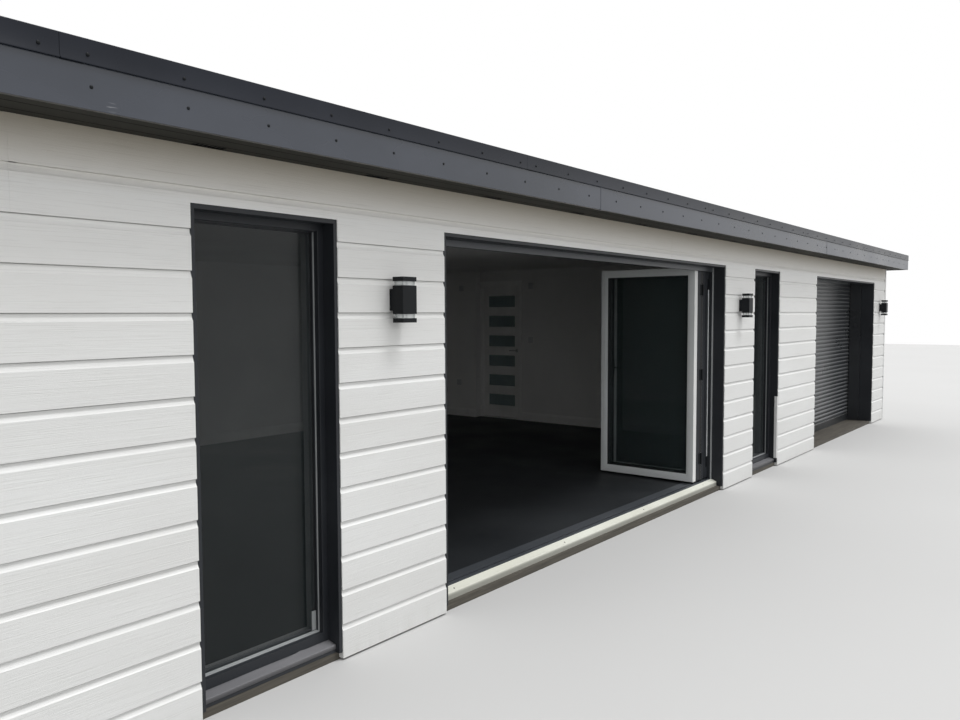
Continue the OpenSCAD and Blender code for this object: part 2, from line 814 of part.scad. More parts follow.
// Skirting round the main room, broken at the openings and mitred in its corners
module skirting() {
  x_end = x_left + wall_thickness;
  y_back = y_rear - wall_thickness;
  color("white") {
    along_x(x_end, x_partition - wall_step) skirting_outline(y_back, -1);
    along_y(y_room, y_back) skirting_outline(x_end, 1);
    along_y(y_room, y_trim) skirting_outline(x_partition, -1);
    along_y(y_step, y_back) skirting_outline(x_partition - wall_step, -1);
    along_x(x_end, x_window_1) skirting_outline(y_room, 1);
    along_x(x_pier_1, x_bifold) skirting_outline(y_room, 1);
    along_x(x_pier_2, x_window_2) skirting_outline(y_room, 1);
    along_x(x_pier_3, x_partition) skirting_outline(y_room, 1);
  }
}
// Doorway outline grown by a margin, from a chosen height up
module doorway(a, b, margin, foot) {
  block([a, y_latch - latch_gap - margin, foot],
    [b, y_hinge + door_gap + margin, door_top + door_gap + margin]);
}
module inner_door_frame() {
  y_side = y_latch - latch_gap - architrave_set;
  top = door_top + door_gap + architrave_set;
  x_stop = x_leaf - stop_gap - stop_sheet;
  x_trim = x_partition - architrave_sheet;
  color("white") {
    difference() {
      doorway(x_partition, x_store, door_lining, base_height);
      doorway(x_partition - 1, x_store + 1, 0, floor_level);
    }
    difference() {
      doorway(x_stop, x_stop + stop_sheet, 0, floor_level);
      doorway(x_stop - 1, x_stop + stop_sheet + 1, -stop_reach, floor_level - 1);
    }
    // Trim in the main room: one leg and a head that ends against the wall's step
    difference() {
      block([x_trim, y_trim, floor_level], [x_partition, y_step, top + architrave]);
      block([x_trim - 1, y_side, floor_level - 1], [x_partition + 1, y_step + 1, top]);
    }
    difference() {
      doorway(x_store, x_store + architrave_sheet, architrave_set + architrave, base_height);
      doorway(x_store - 1, x_store + architrave_sheet + 1, architrave_set, base_height - 1);
    }
  }
}
// Corner of pane i, counted from the top
function slot_z(i) = door_top - top_rail - slot_height - i * slot_pitch;
y_slot = y_latch + slot_side;
slot_end = y_hinge - slot_side;
module inner_door_leaf() {
  color("white")
    difference() {
      block([x_leaf, y_latch, door_foot], [x_store, y_hinge, door_top]);
      for (i = [0:slot_count - 1])
        block([x_leaf - 1, y_slot, slot_z(i)], [x_store + 1, slot_end, slot_z(i) + slot_height]);
    }
}
module inner_door_panes() {
  x_mid = x_leaf + door_sheet / 2;
  color("lightblue", 0.4)
    for (i = [0:slot_count - 1])
      block([x_mid - slot_pane / 2, y_slot, slot_z(i)],
        [x_mid + slot_pane / 2, slot_end, slot_z(i) + slot_height]);
}
// Heights of the hinges' lower ends
function hinge_z(i) =
  door_foot + hinge_set + i * (door_height - 2 * hinge_set - hinge_height) / (hinge_count - 1);
// Fixed half of each hinge: plate on the lining, two knuckles and the pin
module inner_door_hinges() {
  y_plate = y_hinge + door_gap - plate;
  fixed = knuckle - knuckle_gap;
  color("silver")
    for (i = [0:hinge_count - 1]) translate([0, 0, hinge_z(i)]) {
      block([x_plate - hinge_plate, y_plate, 0], [x_plate, y_plate + plate, hinge_height]);
      for (z = [0, hinge_height - fixed]) {
        block([x_plate, y_plate, z], [x_pin, y_plate + plate, z + fixed]);
        translate([x_pin, y_pin, z]) cylinder(r = barrel_radius, h = fixed, $fn = 48);
      }
      translate([x_pin, y_pin, 0]) cylinder(r = pin_radius, h = hinge_height, $fn = 48);
    }
}
// Moving metal: the hinges' other halves and the two lever handles
module inner_door_furniture() {
  grip = handle_reach - lever_grip;
  color("silver") {
    for (i = [0:hinge_count - 1]) translate([0, 0, hinge_z(i)]) difference() {
      union() {
        block([x_plate - hinge_plate, y_hinge, 0], [x_plate, y_hinge + plate, hinge_height]);
        block([x_plate, y_hinge, knuckle], [x_pin, y_hinge + plate, 2 * knuckle]);
        translate([x_pin, y_pin, knuckle]) cylinder(r = barrel_radius, h = knuckle, $fn = 48);
      }
      translate([x_pin, y_pin, knuckle - 1])
        cylinder(r = pin_radius + pin_clearance, h = knuckle + 2, $fn = 48);
    }
    for (s = [-1, 1])
      translate([s > 0 ? x_store : x_leaf, y_latch + handle_set, door_foot + handle_height]) {
        rotate([0, s * 90, 0]) cylinder(r = rose_radius, h = rose_sheet, $fn = 48);
        rotate([0, s * 90, 0]) cylinder(r = lever_neck, h = grip + 1, $fn = 32);
        block([min(s * grip, s * handle_reach), -lever_neck, -lever_neck],
          [max(s * grip, s * handle_reach), handle_length, lever_neck]);
      }
  }
}

// Up and down wall lamps: wall plate, dark body, clear rings and end caps
lamp_x = [(x_pier_1 + x_bifold) / 2, (x_pier_2 + x_window_2) / 2, (x_pier_4 + x_right) / 2];
y_lamp = y_front - lamp_reach;
lamp_top = lamp_body / 2 + lamp_ring + lamp_cap;
module lamp_bodies() {
  color("black")
    for (x = lamp_x) translate([x, 0, lamp_height]) {
      block([-lamp_width / 2, y_lamp - lamp_depth, -lamp_body / 2],
        [lamp_width / 2, y_lamp, lamp_body / 2]);
      block([lamp_plate_inset - lamp_width / 2, y_lamp, -lamp_plate / 2],
        [lamp_width / 2 - lamp_plate_inset, y_front, lamp_plate / 2]);
      for (s = [-1, 1])
        block([-lamp_width / 2, y_lamp - lamp_depth, min(s * lamp_top, s * (lamp_top - lamp_cap))],
          [lamp_width / 2, y_lamp, max(s * lamp_top, s * (lamp_top - lamp_cap))]);
      lamp_posts(0);
    }
}
// Four posts in the corners of each clear ring, or the holes that they stand in
module lamp_posts(over) {
  dx = lamp_width / 2 - 2 * ring_inset;
  dy = lamp_depth / 2 - 2 * ring_inset;
  half = lamp_post / 2;
  for (s = [-1, 1], px = [-dx, dx], py = [-dy, dy])
    translate([px, y_lamp - lamp_depth / 2 + py, s * (lamp_body + lamp_ring) / 2])
      block([-half, -half, -lamp_ring / 2 - over], [half, half, lamp_ring / 2 + over]);
}
module lamp_rings() {
  inner = lamp_body / 2;
  color("lightblue", 0.4)
    for (x = lamp_x) translate([x, 0, lamp_height]) difference() {
      for (s = [-1, 1])
        block([-lamp_width / 2 + ring_inset, y_lamp - lamp_depth + ring_inset,
            min(s * inner, s * (inner + lamp_ring))],
          [lamp_width / 2 - ring_inset, y_lamp - ring_inset, max(s * inner, s * (inner + lamp_ring))]);
      lamp_posts(1);
    }
}

base_floor();
room_floor();
front_pier_left_end();
front_pier_lamp_left();
front_pier_lamp_right();
front_pier_plain();
front_pier_right_end();
front_header();
rear_wall();
end_walls();
corner_trims();
ceilings();
roof_panel();
roof_membrane();
fascia_long();
fascia_ends();
soffit_long();
soffit_ends();
edge_trim_long();
edge_trim_ends();
reveal_jambs();
reveal_heads();
window_frames();
window_panes();
bifold_jambs();
bifold_head_track();
bifold_sill();
bifold_bottom_track();
bifold_leaf_frames();
bifold_panes();
bifold_hardware();
shutter_curtain();
shutter_bottom_bar();
shutter_guides();
shutter_box();
partition_sides();
partition_head();
skirting();
inner_door_frame();
inner_door_leaf();
inner_door_panes();
inner_door_hinges();
inner_door_furniture();
lamp_bodies();
lamp_rings();
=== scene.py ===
# %% [markdown]
# A garden office pod, dressed for its photograph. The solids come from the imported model. This file adds
# what a solid leaves out: the boards' profile and grain, joints, gaskets, screws, laths and finishes.
# Lengths are in metres, in the model's own frame: +X to the right along the front, -Y the way the front
# faces, +Z up, with the origin on the ground under the middle of the building.

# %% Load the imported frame
import math

import bmesh
import bpy
from mathutils import Matrix, Vector


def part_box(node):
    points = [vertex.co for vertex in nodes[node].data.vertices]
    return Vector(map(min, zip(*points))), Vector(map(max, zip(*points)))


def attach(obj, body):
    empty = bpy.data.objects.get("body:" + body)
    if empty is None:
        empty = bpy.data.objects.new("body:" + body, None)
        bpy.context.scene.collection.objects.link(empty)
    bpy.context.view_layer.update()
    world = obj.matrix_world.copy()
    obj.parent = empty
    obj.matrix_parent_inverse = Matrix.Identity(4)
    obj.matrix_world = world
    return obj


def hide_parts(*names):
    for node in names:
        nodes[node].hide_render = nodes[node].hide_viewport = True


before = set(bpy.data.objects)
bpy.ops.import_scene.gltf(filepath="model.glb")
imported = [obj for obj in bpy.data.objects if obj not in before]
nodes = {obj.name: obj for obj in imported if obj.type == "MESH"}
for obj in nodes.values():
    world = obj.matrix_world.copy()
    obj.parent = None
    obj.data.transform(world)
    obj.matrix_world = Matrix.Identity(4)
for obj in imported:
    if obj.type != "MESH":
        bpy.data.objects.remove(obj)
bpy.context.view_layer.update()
scene = bpy.context.scene
print("frame loaded,", len(nodes), "nodes")

# %% [markdown]
# Every joinery job starts from a few datum lines. Here they are read from the model's own boxes, so a
# piece added below always lands on the solid that carries it.

# %% Datum lines
header_low, header_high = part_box("front_header")
front_face = header_low.y
room_face = header_high.y
wall_left = header_low.x
wall_right = header_high.x
head_level = header_low.z
wall_top = header_high.z
rear_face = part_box("rear_wall")[1].y
board_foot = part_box("rear_wall")[0].z
base_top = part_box("base_floor")[1].z
soffit_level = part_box("soffit_long")[0].z
print("boards from", round(board_foot, 3), "to", round(wall_top, 3), "head", round(head_level, 3))

# %% [markdown]
# Most of this building is stock cut to length: a section is drawn once and run along the wall. So the
# mesh helper is a small bench that runs sections along an axis, takes blocks and turned parts, and joins
# what it was given into one object. Lists of points keep each piece light, and bmesh then turns every
# face outwards.

# %% A bench for cutting stock
sharp_angle = math.radians(35)


class Bench:
    """Collects lengths of stock and makes one object of them."""

    def __init__(self):
        self.points = []
        self.faces = []
        self.marks = []

    def face(self, ring, mark=0):
        """Adds a face. Its mark picks one of the finishes that the piece is made with."""
        self.faces.append(ring)
        self.marks.append(mark)

    def run(self, section, axis, start, end, face=0.0, way=1, mark=0):
        """Runs a section along an axis. X takes (y, z), Y takes (x, z) and Z takes (x, y).
        The first of each pair is measured from a face, and way is +1 or -1."""
        first = len(self.points)
        count = len(section)
        for place in (start, end):
            for depth, b in section:
                a = face + way * depth
                self.points.append({"x": (place, a, b), "y": (a, place, b), "z": (a, b, place)}[axis])
        for i in range(count):
            j = (i + 1) % count
            self.face((first + i, first + j, first + count + j, first + count + i), mark)
        self.face(tuple(range(first, first + count)), mark)
        self.face(tuple(range(first + count, first + 2 * count)), mark)

    def block(self, low, high, mark=0):
        """A sawn block between two corners."""
        section = [(low[0], low[1]), (high[0], low[1]), (high[0], high[1]), (low[0], high[1])]
        self.run(section, "z", low[2], high[2], mark=mark)

    def frame(self, plane, low, high, section, face=0.0, way=1, marks=(0, 0, 0, 0)):
        """Sweeps a section of (inset, depth) pairs round a rectangle, with mitred corners.
        The marks are for its foot, its high side, its top and its low side."""
        first = len(self.points)
        for inset, depth in section:
            level = face + way * depth
            for a, b in ((low[0] + inset, low[1] + inset), (high[0] - inset, low[1] + inset),
                         (high[0] - inset, high[1] - inset), (low[0] + inset, high[1] - inset)):
                self.points.append((a, level, b) if plane == "y" else (level, a, b))
        for i in range(len(section)):
            near = first + 4 * i
            far = first + 4 * ((i + 1) % len(section))
            for c in range(4):
                d = (c + 1) % 4
                self.face((near + c, near + d, far + d, far + c), marks[c])

    def turned(self, profile, origin, axis, sides=12):
        """A turned part: (radius, height) pairs spun round an axis that starts at origin."""
        axis = Vector(axis).normalized()
        across = axis.orthogonal().normalized()
        beside = axis.cross(across)
        rings = []
        for radius, height in profile:
            rings.append(range(len(self.points), len(self.points) + sides))
            for k in range(sides):
                angle = 2 * math.pi * k / sides
                spoke = across * math.cos(angle) + beside * math.sin(angle)
                self.points.append(tuple(Vector(origin) + axis * height + spoke * radius))
        for a, b in zip(rings, rings[1:]):
            for k in range(sides):
                self.face((a[k], a[(k + 1) % sides], b[(k + 1) % sides], b[k]))
        self.face(tuple(rings[0]))
        self.face(tuple(rings[-1]))

    def build(self, name, finishes):
        """Joins the stock into one object."""
        mesh = bpy.data.meshes.new(name)
        mesh.from_pydata(self.points, [], self.faces)
        for polygon, mark in zip(mesh.polygons, self.marks):
            polygon.material_index = mark
        work = bmesh.new()
        work.from_mesh(mesh)
        bmesh.ops.recalc_face_normals(work, faces=work.faces)
        work.to_mesh(mesh)
        work.free()
        for finish in finishes:
            mesh.materials.append(finish.material)
        print(name, len(mesh.polygons), "faces")
        return stand(name, mesh)

    def make(self, name, finishes, stands_for=(), body="building", edge=0.0, smooth=False):
        """Builds a piece that rides on a body, with the finishes it is given."""
        piece = self.build(name, finishes)
        if smooth:
            piece.data.shade_smooth()
            piece.data.set_sharp_from_angle(angle=sharp_angle)
        if edge > 0:
            ease_edges(piece, edge)
        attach(piece, body)
        if stands_for:
            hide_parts(*stands_for)
        return piece


def stand(name, data):
    """Puts an object with this data on the scene."""
    piece = bpy.data.objects.new(name, data)
    scene.collection.objects.link(piece)
    return piece


def ease_edges(piece, width):
    """Eases the sharp edges of a piece, because no real edge is razor sharp."""
    bevel = piece.modifiers.new("eased edges", "BEVEL")
    bevel.width = width
    bevel.segments = 2
    bevel.limit_method = "ANGLE"
    bevel.angle_limit = sharp_angle


# %% [markdown]
# Finishes are built from nodes. Each one starts from a shader with its fixed values typed on its own
# sockets, and then gets cloudy variation in colour and gloss, and a bump, from noise measured in metres.
# One class has plain words for the nodes of any tree, and a second adds those that a finish needs.


# %% Helpers for nodes and finishes
class Tree:
    """Short words for the nodes of a material or of the world, and for the links between them."""

    def __init__(self, owner):
        owner.use_nodes = True
        self.tree = owner.node_tree

    def feed(self, socket, value):
        """Types a value into a socket, or links another node's output to it."""
        if isinstance(value, bpy.types.NodeSocket):
            self.tree.links.new(value, socket)
        else:
            socket.default_value = (*value, 1.0) if socket.type == "RGBA" else value

    def add(self, kind, inputs=(), **settings):
        """Adds a node, and feeds the sockets that are named."""
        node = self.tree.nodes.new(kind)
        for key, value in settings.items():
            setattr(node, key, value)
        for socket, value in dict(inputs).items():
            self.feed(node.inputs[socket], value)
        return node

    def spread(self, value, low, high, out_low=0.0, out_high=1.0):
        """Maps a value from one range to another and holds it there."""
        return self.add("ShaderNodeMapRange", {"Value": value, "From Min": low, "From Max": high,
                                               "To Min": out_low, "To Max": out_high}).outputs["Result"]

    def mix(self, factor, first, second):
        """Mixes two colours, each one typed or linked."""
        colours = {"Factor": factor, "A": first, "B": second}
        return self.add("ShaderNodeMix", colours, data_type="RGBA").outputs["Result"]

    def sums(self, kind, first, second=0.0):
        """Plain arithmetic on two values."""
        return self.add("ShaderNodeMath", {0: first, 1: second}, operation=kind).outputs["Value"]

    def seen(self):
        """1 for what the camera sees, also in gloss and through glass, and 0 for all other light."""
        rays = self.add("ShaderNodeLightPath").outputs
        direct = self.sums("MAXIMUM", rays["Is Camera Ray"], rays["Is Glossy Ray"])
        return self.sums("MAXIMUM", direct, rays["Is Transmission Ray"])


class Finish(Tree):
    """A material, with words for its colour, gloss and relief."""

    def __init__(self, name, metallic=0.0, roughness=0.5, sheen=0.5):
        self.material = bpy.data.materials.new(name)
        super().__init__(self.material)
        self.shader = self.tree.nodes["Principled BSDF"]
        for socket, value in (("Metallic", metallic), ("Roughness", roughness), ("IOR", 1.45),
                              ("Specular IOR Level", sheen)):
            self.shader.inputs[socket].default_value = value
        self.place = self.add("ShaderNodeTexCoord").outputs["Object"]

    def noise(self, stretch, detail=3.0, rough=0.5, warp=0.0):
        """Noise whose cells are 1/stretch metres, all round or along each axis."""
        scale = stretch if isinstance(stretch, tuple) else (stretch,) * 3
        place = self.add("ShaderNodeMapping", {"Scale": scale, "Vector": self.place}).outputs["Vector"]
        return self.add("ShaderNodeTexNoise", {"Vector": place, "Scale": 1.0, "Detail": detail,
                                               "Roughness": rough, "Distortion": warp}).outputs["Fac"]

    def along(self, axis):
        """Where a point lies along one axis, in metres."""
        return self.add("ShaderNodeSeparateXYZ", {"Vector": self.place}).outputs[axis]

    def facing(self, axis):
        """Which way the surface faces along one axis, from -1 to 1."""
        normal = self.add("ShaderNodeNewGeometry").outputs["Normal"]
        return self.add("ShaderNodeSeparateXYZ", {"Vector": normal}).outputs[axis]

    def tone(self, source, dark, light, low=0.3, high=0.7):
        """Colours the finish from dark to light, as the source goes from low to high."""
        self.feed(self.shader.inputs["Base Color"], self.mix(self.spread(source, low, high), dark, light))

    def overlay(self, factor, colour):
        """Lays another colour over what the finish shows so far."""
        base = self.shader.inputs["Base Color"]
        self.feed(base, self.mix(factor, base.links[0].from_socket, colour))

    def gloss(self, source, smooth, rough, low=0.2, high=0.8):
        """Takes the roughness from smooth to rough, as the source goes from low to high."""
        self.feed(self.shader.inputs["Roughness"], self.spread(source, low, high, smooth, rough))

    def relief(self, *layers):
        """Bumps on top of each other: pairs of a height source and its depth in metres."""
        normal = None
        for height, depth in layers:
            bump = self.add("ShaderNodeBump", {"Strength": 1.0, "Distance": depth, "Height": height})
            if normal is not None:
                self.feed(bump.inputs["Normal"], normal)
            normal = bump.outputs["Normal"]
        self.feed(self.shader.inputs["Normal"], normal)


# %% [markdown]
# The cladding is white fibre board with a pressed wood grain. The grain is noise drawn out along the
# board, and a coarser noise tints each stretch a little. The upper boards get painted light: they are
# painted lighter than the rest. Three marks come from height alone: painted warm shade right under the
# eaves, painted shade with some dirt tucked under the lip of each course, and a trace of splash dirt at the
# foot.
# The height divided by the course and cut to its fraction tells how far a point lies under the line above
# it.

# %% White board finish
course = 0.167
# Height of the band of painted shade under each lip.
lip_shade_band = 0.0036
first_lip = board_foot + 0.0006
cladding = Finish("boards_white")
grain = cladding.noise((2.6, 2.6, 250.0), detail=4.0, rough=0.6, warp=1.1)
pores = cladding.noise((9.0, 9.0, 620.0), detail=2.0)
cloud = cladding.noise((0.7, 0.7, 2.4))
height = cladding.along("Z")
cladding.tone(cloud, (0.735, 0.737, 0.725), (0.80, 0.807, 0.80))
# Painted light: the upper boards are painted lighter, making up for the shade of the eaves.
painted_upper_light = cladding.spread(height, 1.35, 2.0, 0.0, 0.75)
cladding.overlay(painted_upper_light, (0.88, 0.88, 0.865))
pressed = cladding.spread(grain, 0.22, 0.45, 1.0, 0.0)
cladding.overlay(pressed, (0.69, 0.69, 0.675))
# Painted shade: a warm darker band right under the eaves.
eaves_shade = cladding.spread(height, 2.12, 2.35, 0.0, 0.72)
cladding.overlay(eaves_shade, (0.50, 0.42, 0.29))
rain = cladding.spread(cladding.noise((14.0, 14.0, 0.9)), 0.3, 0.75)
splash = cladding.sums("MULTIPLY", cladding.spread(height, 0.13, 0.0, 0.0, 0.25), rain)
cladding.overlay(splash, (0.40, 0.39, 0.35))
courses_down = cladding.sums("DIVIDE", cladding.sums("SUBTRACT", first_lip, height), course)
under_lip = cladding.sums("FRACT", courses_down)
# Painted shade with some dirt: a dark band just under each course's lip, faded out near the top.
tucked = cladding.spread(under_lip, 0.3 * lip_shade_band / course, lip_shade_band / course, 0.4, 0.0)
lip_shade_and_dirt = cladding.sums("MULTIPLY", tucked, cladding.spread(height, 2.05, 2.15, 1.0, 0.0))
cladding.overlay(lip_shade_and_dirt, (0.085, 0.082, 0.075))
cladding.gloss(cloud, 0.42, 0.58)
cladding.relief((grain, 0.0013), (pores, 0.0004))
print("boards_white has", len(cladding.tree.nodes), "nodes")

# %% [markdown]
# Trim, wall paint and joinery paint differ in gloss and in the size of their unevenness: extruded trim
# is almost flat, a roller leaves a fine orange peel on walls, and a brush leaves faint strokes on a door.

# %% Smooth white finishes
trim_white = Finish("trim_white", roughness=0.4)
shade = trim_white.noise((3.0, 3.0, 1.2))
trim_white.tone(shade, (0.72, 0.73, 0.73), (0.82, 0.82, 0.81))
trim_white.gloss(shade, 0.36, 0.5)
trim_white.relief((trim_white.noise((60.0, 60.0, 8.0)), 0.00025))

wall_paint = Finish("wall_paint", roughness=0.85)
wall_paint.tone(wall_paint.noise(0.8, detail=4.0), (0.70, 0.70, 0.69), (0.78, 0.78, 0.77))
wall_paint.relief((wall_paint.noise(190.0, detail=2.0), 0.0004))

door_paint = Finish("door_paint", roughness=0.32)
shade = door_paint.noise((5.0, 5.0, 1.5))
door_paint.tone(shade, (0.76, 0.76, 0.75), (0.84, 0.84, 0.83))
door_paint.gloss(shade, 0.26, 0.4)
door_paint.relief((door_paint.noise((160.0, 160.0, 3.0)), 0.00012))
print("white paints ready")

# %% [markdown]
# The metalwork is powder coated: an even satin with a cloudy sheen and a very fine orange peel. One
# function makes each of these coats, because only the colour and gloss change.


# %% Powder coats
def powder_coat(name, dark, light, gloss=(0.36, 0.48), peel=0.00006, sheen=0.5):
    """Satin coat with cloudy colour and gloss and a fine orange peel."""
    coat = Finish(name, roughness=gloss[0], sheen=sheen)
    cloud = coat.noise((1.1, 1.1, 2.0), detail=4.0, rough=0.55)
    coat.tone(cloud, dark, light)
    coat.gloss(cloud, *gloss, 0.25, 0.75)
    coat.relief((coat.noise(420.0, detail=2.0), peel))
    return coat


anthracite = powder_coat("anthracite_coat", (0.016, 0.018, 0.022), (0.025, 0.028, 0.033), (0.36, 0.5),
                         sheen=0.4)
leaf_coat = powder_coat("leaf_coat", (0.64, 0.665, 0.67), (0.73, 0.755, 0.76))
bead_coat = powder_coat("bead_coat", (0.10, 0.107, 0.115), (0.14, 0.148, 0.157))
track_coat = powder_coat("track_coat", (0.050, 0.056, 0.064), (0.075, 0.082, 0.092), (0.26, 0.4))
fascia_coat = powder_coat("fascia_coat", (0.022, 0.028, 0.041), (0.042, 0.050, 0.069), (0.2, 0.34),
                          peel=0.0001, sheen=0.85)
edge_coat = powder_coat("edge_coat", (0.009, 0.011, 0.016), (0.018, 0.021, 0.030), (0.22, 0.38), sheen=0.2)
shutter_coat = powder_coat("shutter_coat", (0.020, 0.022, 0.025), (0.032, 0.035, 0.039), (0.24, 0.36))
black_coat = powder_coat("black_coat", (0.0034, 0.0046, 0.0058), (0.008, 0.0098, 0.012), (0.4, 0.55),
                         sheen=0.22)
light_coat = powder_coat("light_coat", (0.27, 0.285, 0.29), (0.35, 0.365, 0.37))
sill_coat = powder_coat("sill_coat", (0.62, 0.62, 0.54), (0.72, 0.73, 0.66), (0.38, 0.55))
sill_sheet = powder_coat("sill_sheet", (0.11, 0.11, 0.118), (0.18, 0.18, 0.19), (0.42, 0.6))
print("powder coats ready")

# %% [markdown]
# Three coats carry more. The upper half of each shutter lath gets a painted highlight, and the fascia's
# underside gets painted shade, so these two ask which way the surface faces. The sill's nose is darker
# near the ground. The fascia also has a small scuff near its left end: scratches within a few centimetres
# of one spot.

# %% Painted highlight and shade, a darker nose and a scuff
# Painted highlight: the up-facing half of each lath is painted much lighter.
painted_lath_highlight = shutter_coat.spread(shutter_coat.facing("Z"), 0.06, 0.36, 0.0, 0.9)
shutter_coat.overlay(painted_lath_highlight, (0.165, 0.172, 0.178))
# Darker towards the bottom of the nose.
nose_darkening = sill_coat.spread(sill_coat.along("Z"), 0.062, 0.084, 0.7, 0.0)
sill_coat.overlay(nose_darkening, (0.19, 0.19, 0.17))
scuff_spot = (-5.762, -3.27, 2.352)
reach = fascia_coat.add("ShaderNodeVectorMath", {0: fascia_coat.place, 1: scuff_spot}, operation="DISTANCE")
near_scuff = fascia_coat.spread(reach.outputs["Value"], 0.006, 0.021, 0.7, 0.0)
scratches = fascia_coat.spread(fascia_coat.noise((14.0, 14.0, 240.0), detail=1.0), 0.5, 0.56)
fascia_coat.overlay(fascia_coat.sums("MULTIPLY", near_scuff, scratches), (0.24, 0.25, 0.27))
# Painted shade: faces of the fascia that look down are painted near black.
painted_underside_shade = fascia_coat.spread(fascia_coat.facing("Z"), -0.9, -0.5, 0.9, 0.0)
fascia_coat.overlay(painted_underside_shade, (0.005, 0.005, 0.006))
print("fascia_coat has", len(fascia_coat.tree.nodes), "nodes")

# %% [markdown]
# Bare metal is of two kinds: brushed steel, whose fine lines come from noise that is drawn out, and zinc,
# whose flakes are the cells of a Voronoi texture.

# %% Bare metals
steel = Finish("satin_steel", metallic=1.0, roughness=0.3)
brushed = steel.noise((60.0, 60.0, 400.0))
steel.tone(brushed, (0.42, 0.42, 0.43), (0.58, 0.58, 0.59), 0.0, 1.0)
steel.gloss(brushed, 0.22, 0.4)
steel.relief((brushed, 0.00004))
galvanised = Finish("galvanised", metallic=0.8, roughness=0.4)
zinc = galvanised.add("ShaderNodeTexVoronoi", {"Scale": 90.0, "Vector": galvanised.place})
flakes = zinc.outputs["Distance"]
galvanised.tone(flakes, (0.45, 0.46, 0.47), (0.62, 0.63, 0.64), 0.0, 1.0)
galvanised.gloss(flakes, 0.32, 0.5, low=0.0)
print("metals ready")

# %% [markdown]
# Boards, felt, rubber and glass. The soffit's grooves get painted shade and some dirt inside. The sealed
# units are thin panes in a big room, so straight-through transparency under a gloss and a film of dust
# shows them better than a solid block of bending glass, and it lets daylight into the room.

# %% Timber, felt and rubber
soffit_board = Finish("soffit_board", roughness=0.7, sheen=0.12)
soffit_board.tone(soffit_board.noise((0.9, 3.0, 3.0), detail=4.0), (0.027, 0.027, 0.023),
                  (0.042, 0.041, 0.035))
# Painted shade with some dirt: faces tilted away from straight down, as in the grooves, are darker.
groove_shade_and_dirt = soffit_board.spread(soffit_board.facing("Z"), -0.95, -0.8, 0.0, 0.9)
soffit_board.overlay(groove_shade_and_dirt, (0.004, 0.004, 0.004))
soffit_board.relief((soffit_board.noise((3.0, 90.0, 90.0)), 0.0003))

timber = Finish("treated_timber", roughness=0.75)
rings = timber.noise((2.0, 30.0, 60.0), detail=5.0, warp=1.5)
timber.tone(rings, (0.050, 0.045, 0.038), (0.105, 0.095, 0.078))
timber.relief((rings, 0.0008))

roof_felt = Finish("roof_felt", roughness=0.8)
puddle = roof_felt.noise(0.6, detail=5.0)
roof_felt.tone(puddle, (0.045, 0.046, 0.050), (0.085, 0.084, 0.080), 0.35, 0.65)
roof_felt.gloss(puddle, 0.62, 0.85, 0.3, 0.7)
roof_felt.relief((roof_felt.noise(500.0, detail=2.0), 0.0006))

floor_rubber = Finish("floor_rubber", roughness=0.6)
flecks = floor_rubber.noise(520.0, detail=1.0)
worn = floor_rubber.noise(1.2, detail=4.0)
floor_rubber.tone(worn, (0.011, 0.013, 0.0155), (0.018, 0.021, 0.024))
floor_rubber.overlay(floor_rubber.spread(flecks, 0.68, 0.78), (0.022, 0.025, 0.030))
floor_rubber.gloss(worn, 0.46, 0.66, 0.3, 0.7)
floor_rubber.relief((flecks, 0.0002))

gasket = Finish("gasket_rubber", roughness=0.55)
shade = gasket.noise(8.0)
gasket.tone(shade, (0.006, 0.006, 0.007), (0.020, 0.020, 0.021), 0.0, 1.0)
gasket.relief((shade, 0.0002))
print("boards, felt and rubber ready")


# %% Glass and clear plastic
def clear_sheet(name, tint, cover):
    """Thin clear sheet: straight-through transparency under a gloss, with a film of dust."""
    sheet = Finish(name, roughness=0.03)
    film = sheet.noise(2.5, detail=5.0, rough=0.6)
    sheet.tone(film, tint, tuple(min(1.0, c * 1.6 + 0.004) for c in tint), 0.0, 1.0)
    sheet.gloss(film, 0.02, 0.08, low=0.3)
    sheet.feed(sheet.shader.inputs["Alpha"], sheet.spread(film, 0.3, 0.8, cover, cover + 0.06))
    return sheet


glass = clear_sheet("window_glass", (0.010, 0.014, 0.015), 0.42)
door_glass = clear_sheet("obscured_glass", (0.20, 0.255, 0.265), 0.86)
leaf_glass = clear_sheet("leaf_glass", (0.036, 0.050, 0.052), 0.2)
clear_plastic = clear_sheet("clear_plastic", (0.55, 0.58, 0.58), 0.35)
print("clear sheets ready")

# %% [markdown]
# The wall boards are a double shiplap: one board covers two courses, so a real joint and a pressed dummy
# joint take turns up the wall. At a dummy joint a wide bevel runs up under the next course. At a real
# joint the bevel is narrower, and a shadow gap stands above it. The section is drawn once as pairs of
# (depth behind the wall face, height) and run along each wall, so a cut end shows the notched outline
# beside an opening. A notch right under each lip holds the thin black line along every course.

# %% Board section
bevel_depth = 0.009
notch_depth = 0.0112
notch_height = 0.0022
lip_round = 0.0012
dummy_bevel = 0.023
dummy_gap = 0.008
joint_bevel = 0.016
joint_gap = 0.015


def board_profile(bottom, top):
    """(depth, height) points up the outside of the boards between two levels."""
    points = [(0.0, bottom)]
    line = 1
    while board_foot + line * course < top + 0.0005:
        level = board_foot + line * course
        real = line % 2 == 0
        bevel = joint_bevel if real else dummy_bevel
        gap = joint_gap if real else dummy_gap
        if level > bottom + bevel + gap:
            points.append((0.0, level - gap - bevel))
            for share in (0.25, 0.5, 0.75, 1.0):
                points.append((bevel_depth * share ** 0.7, level - gap - bevel * (1 - share)))
            points += [(bevel_depth, level - notch_height), (notch_depth, level - notch_height + 0.001),
                       (notch_depth, level), (lip_round, level), (0.0, level + lip_round)]
        line += 1
    return points + [(0.0, top)]


print("board profile has", len(board_profile(board_foot, soffit_level)), "points")


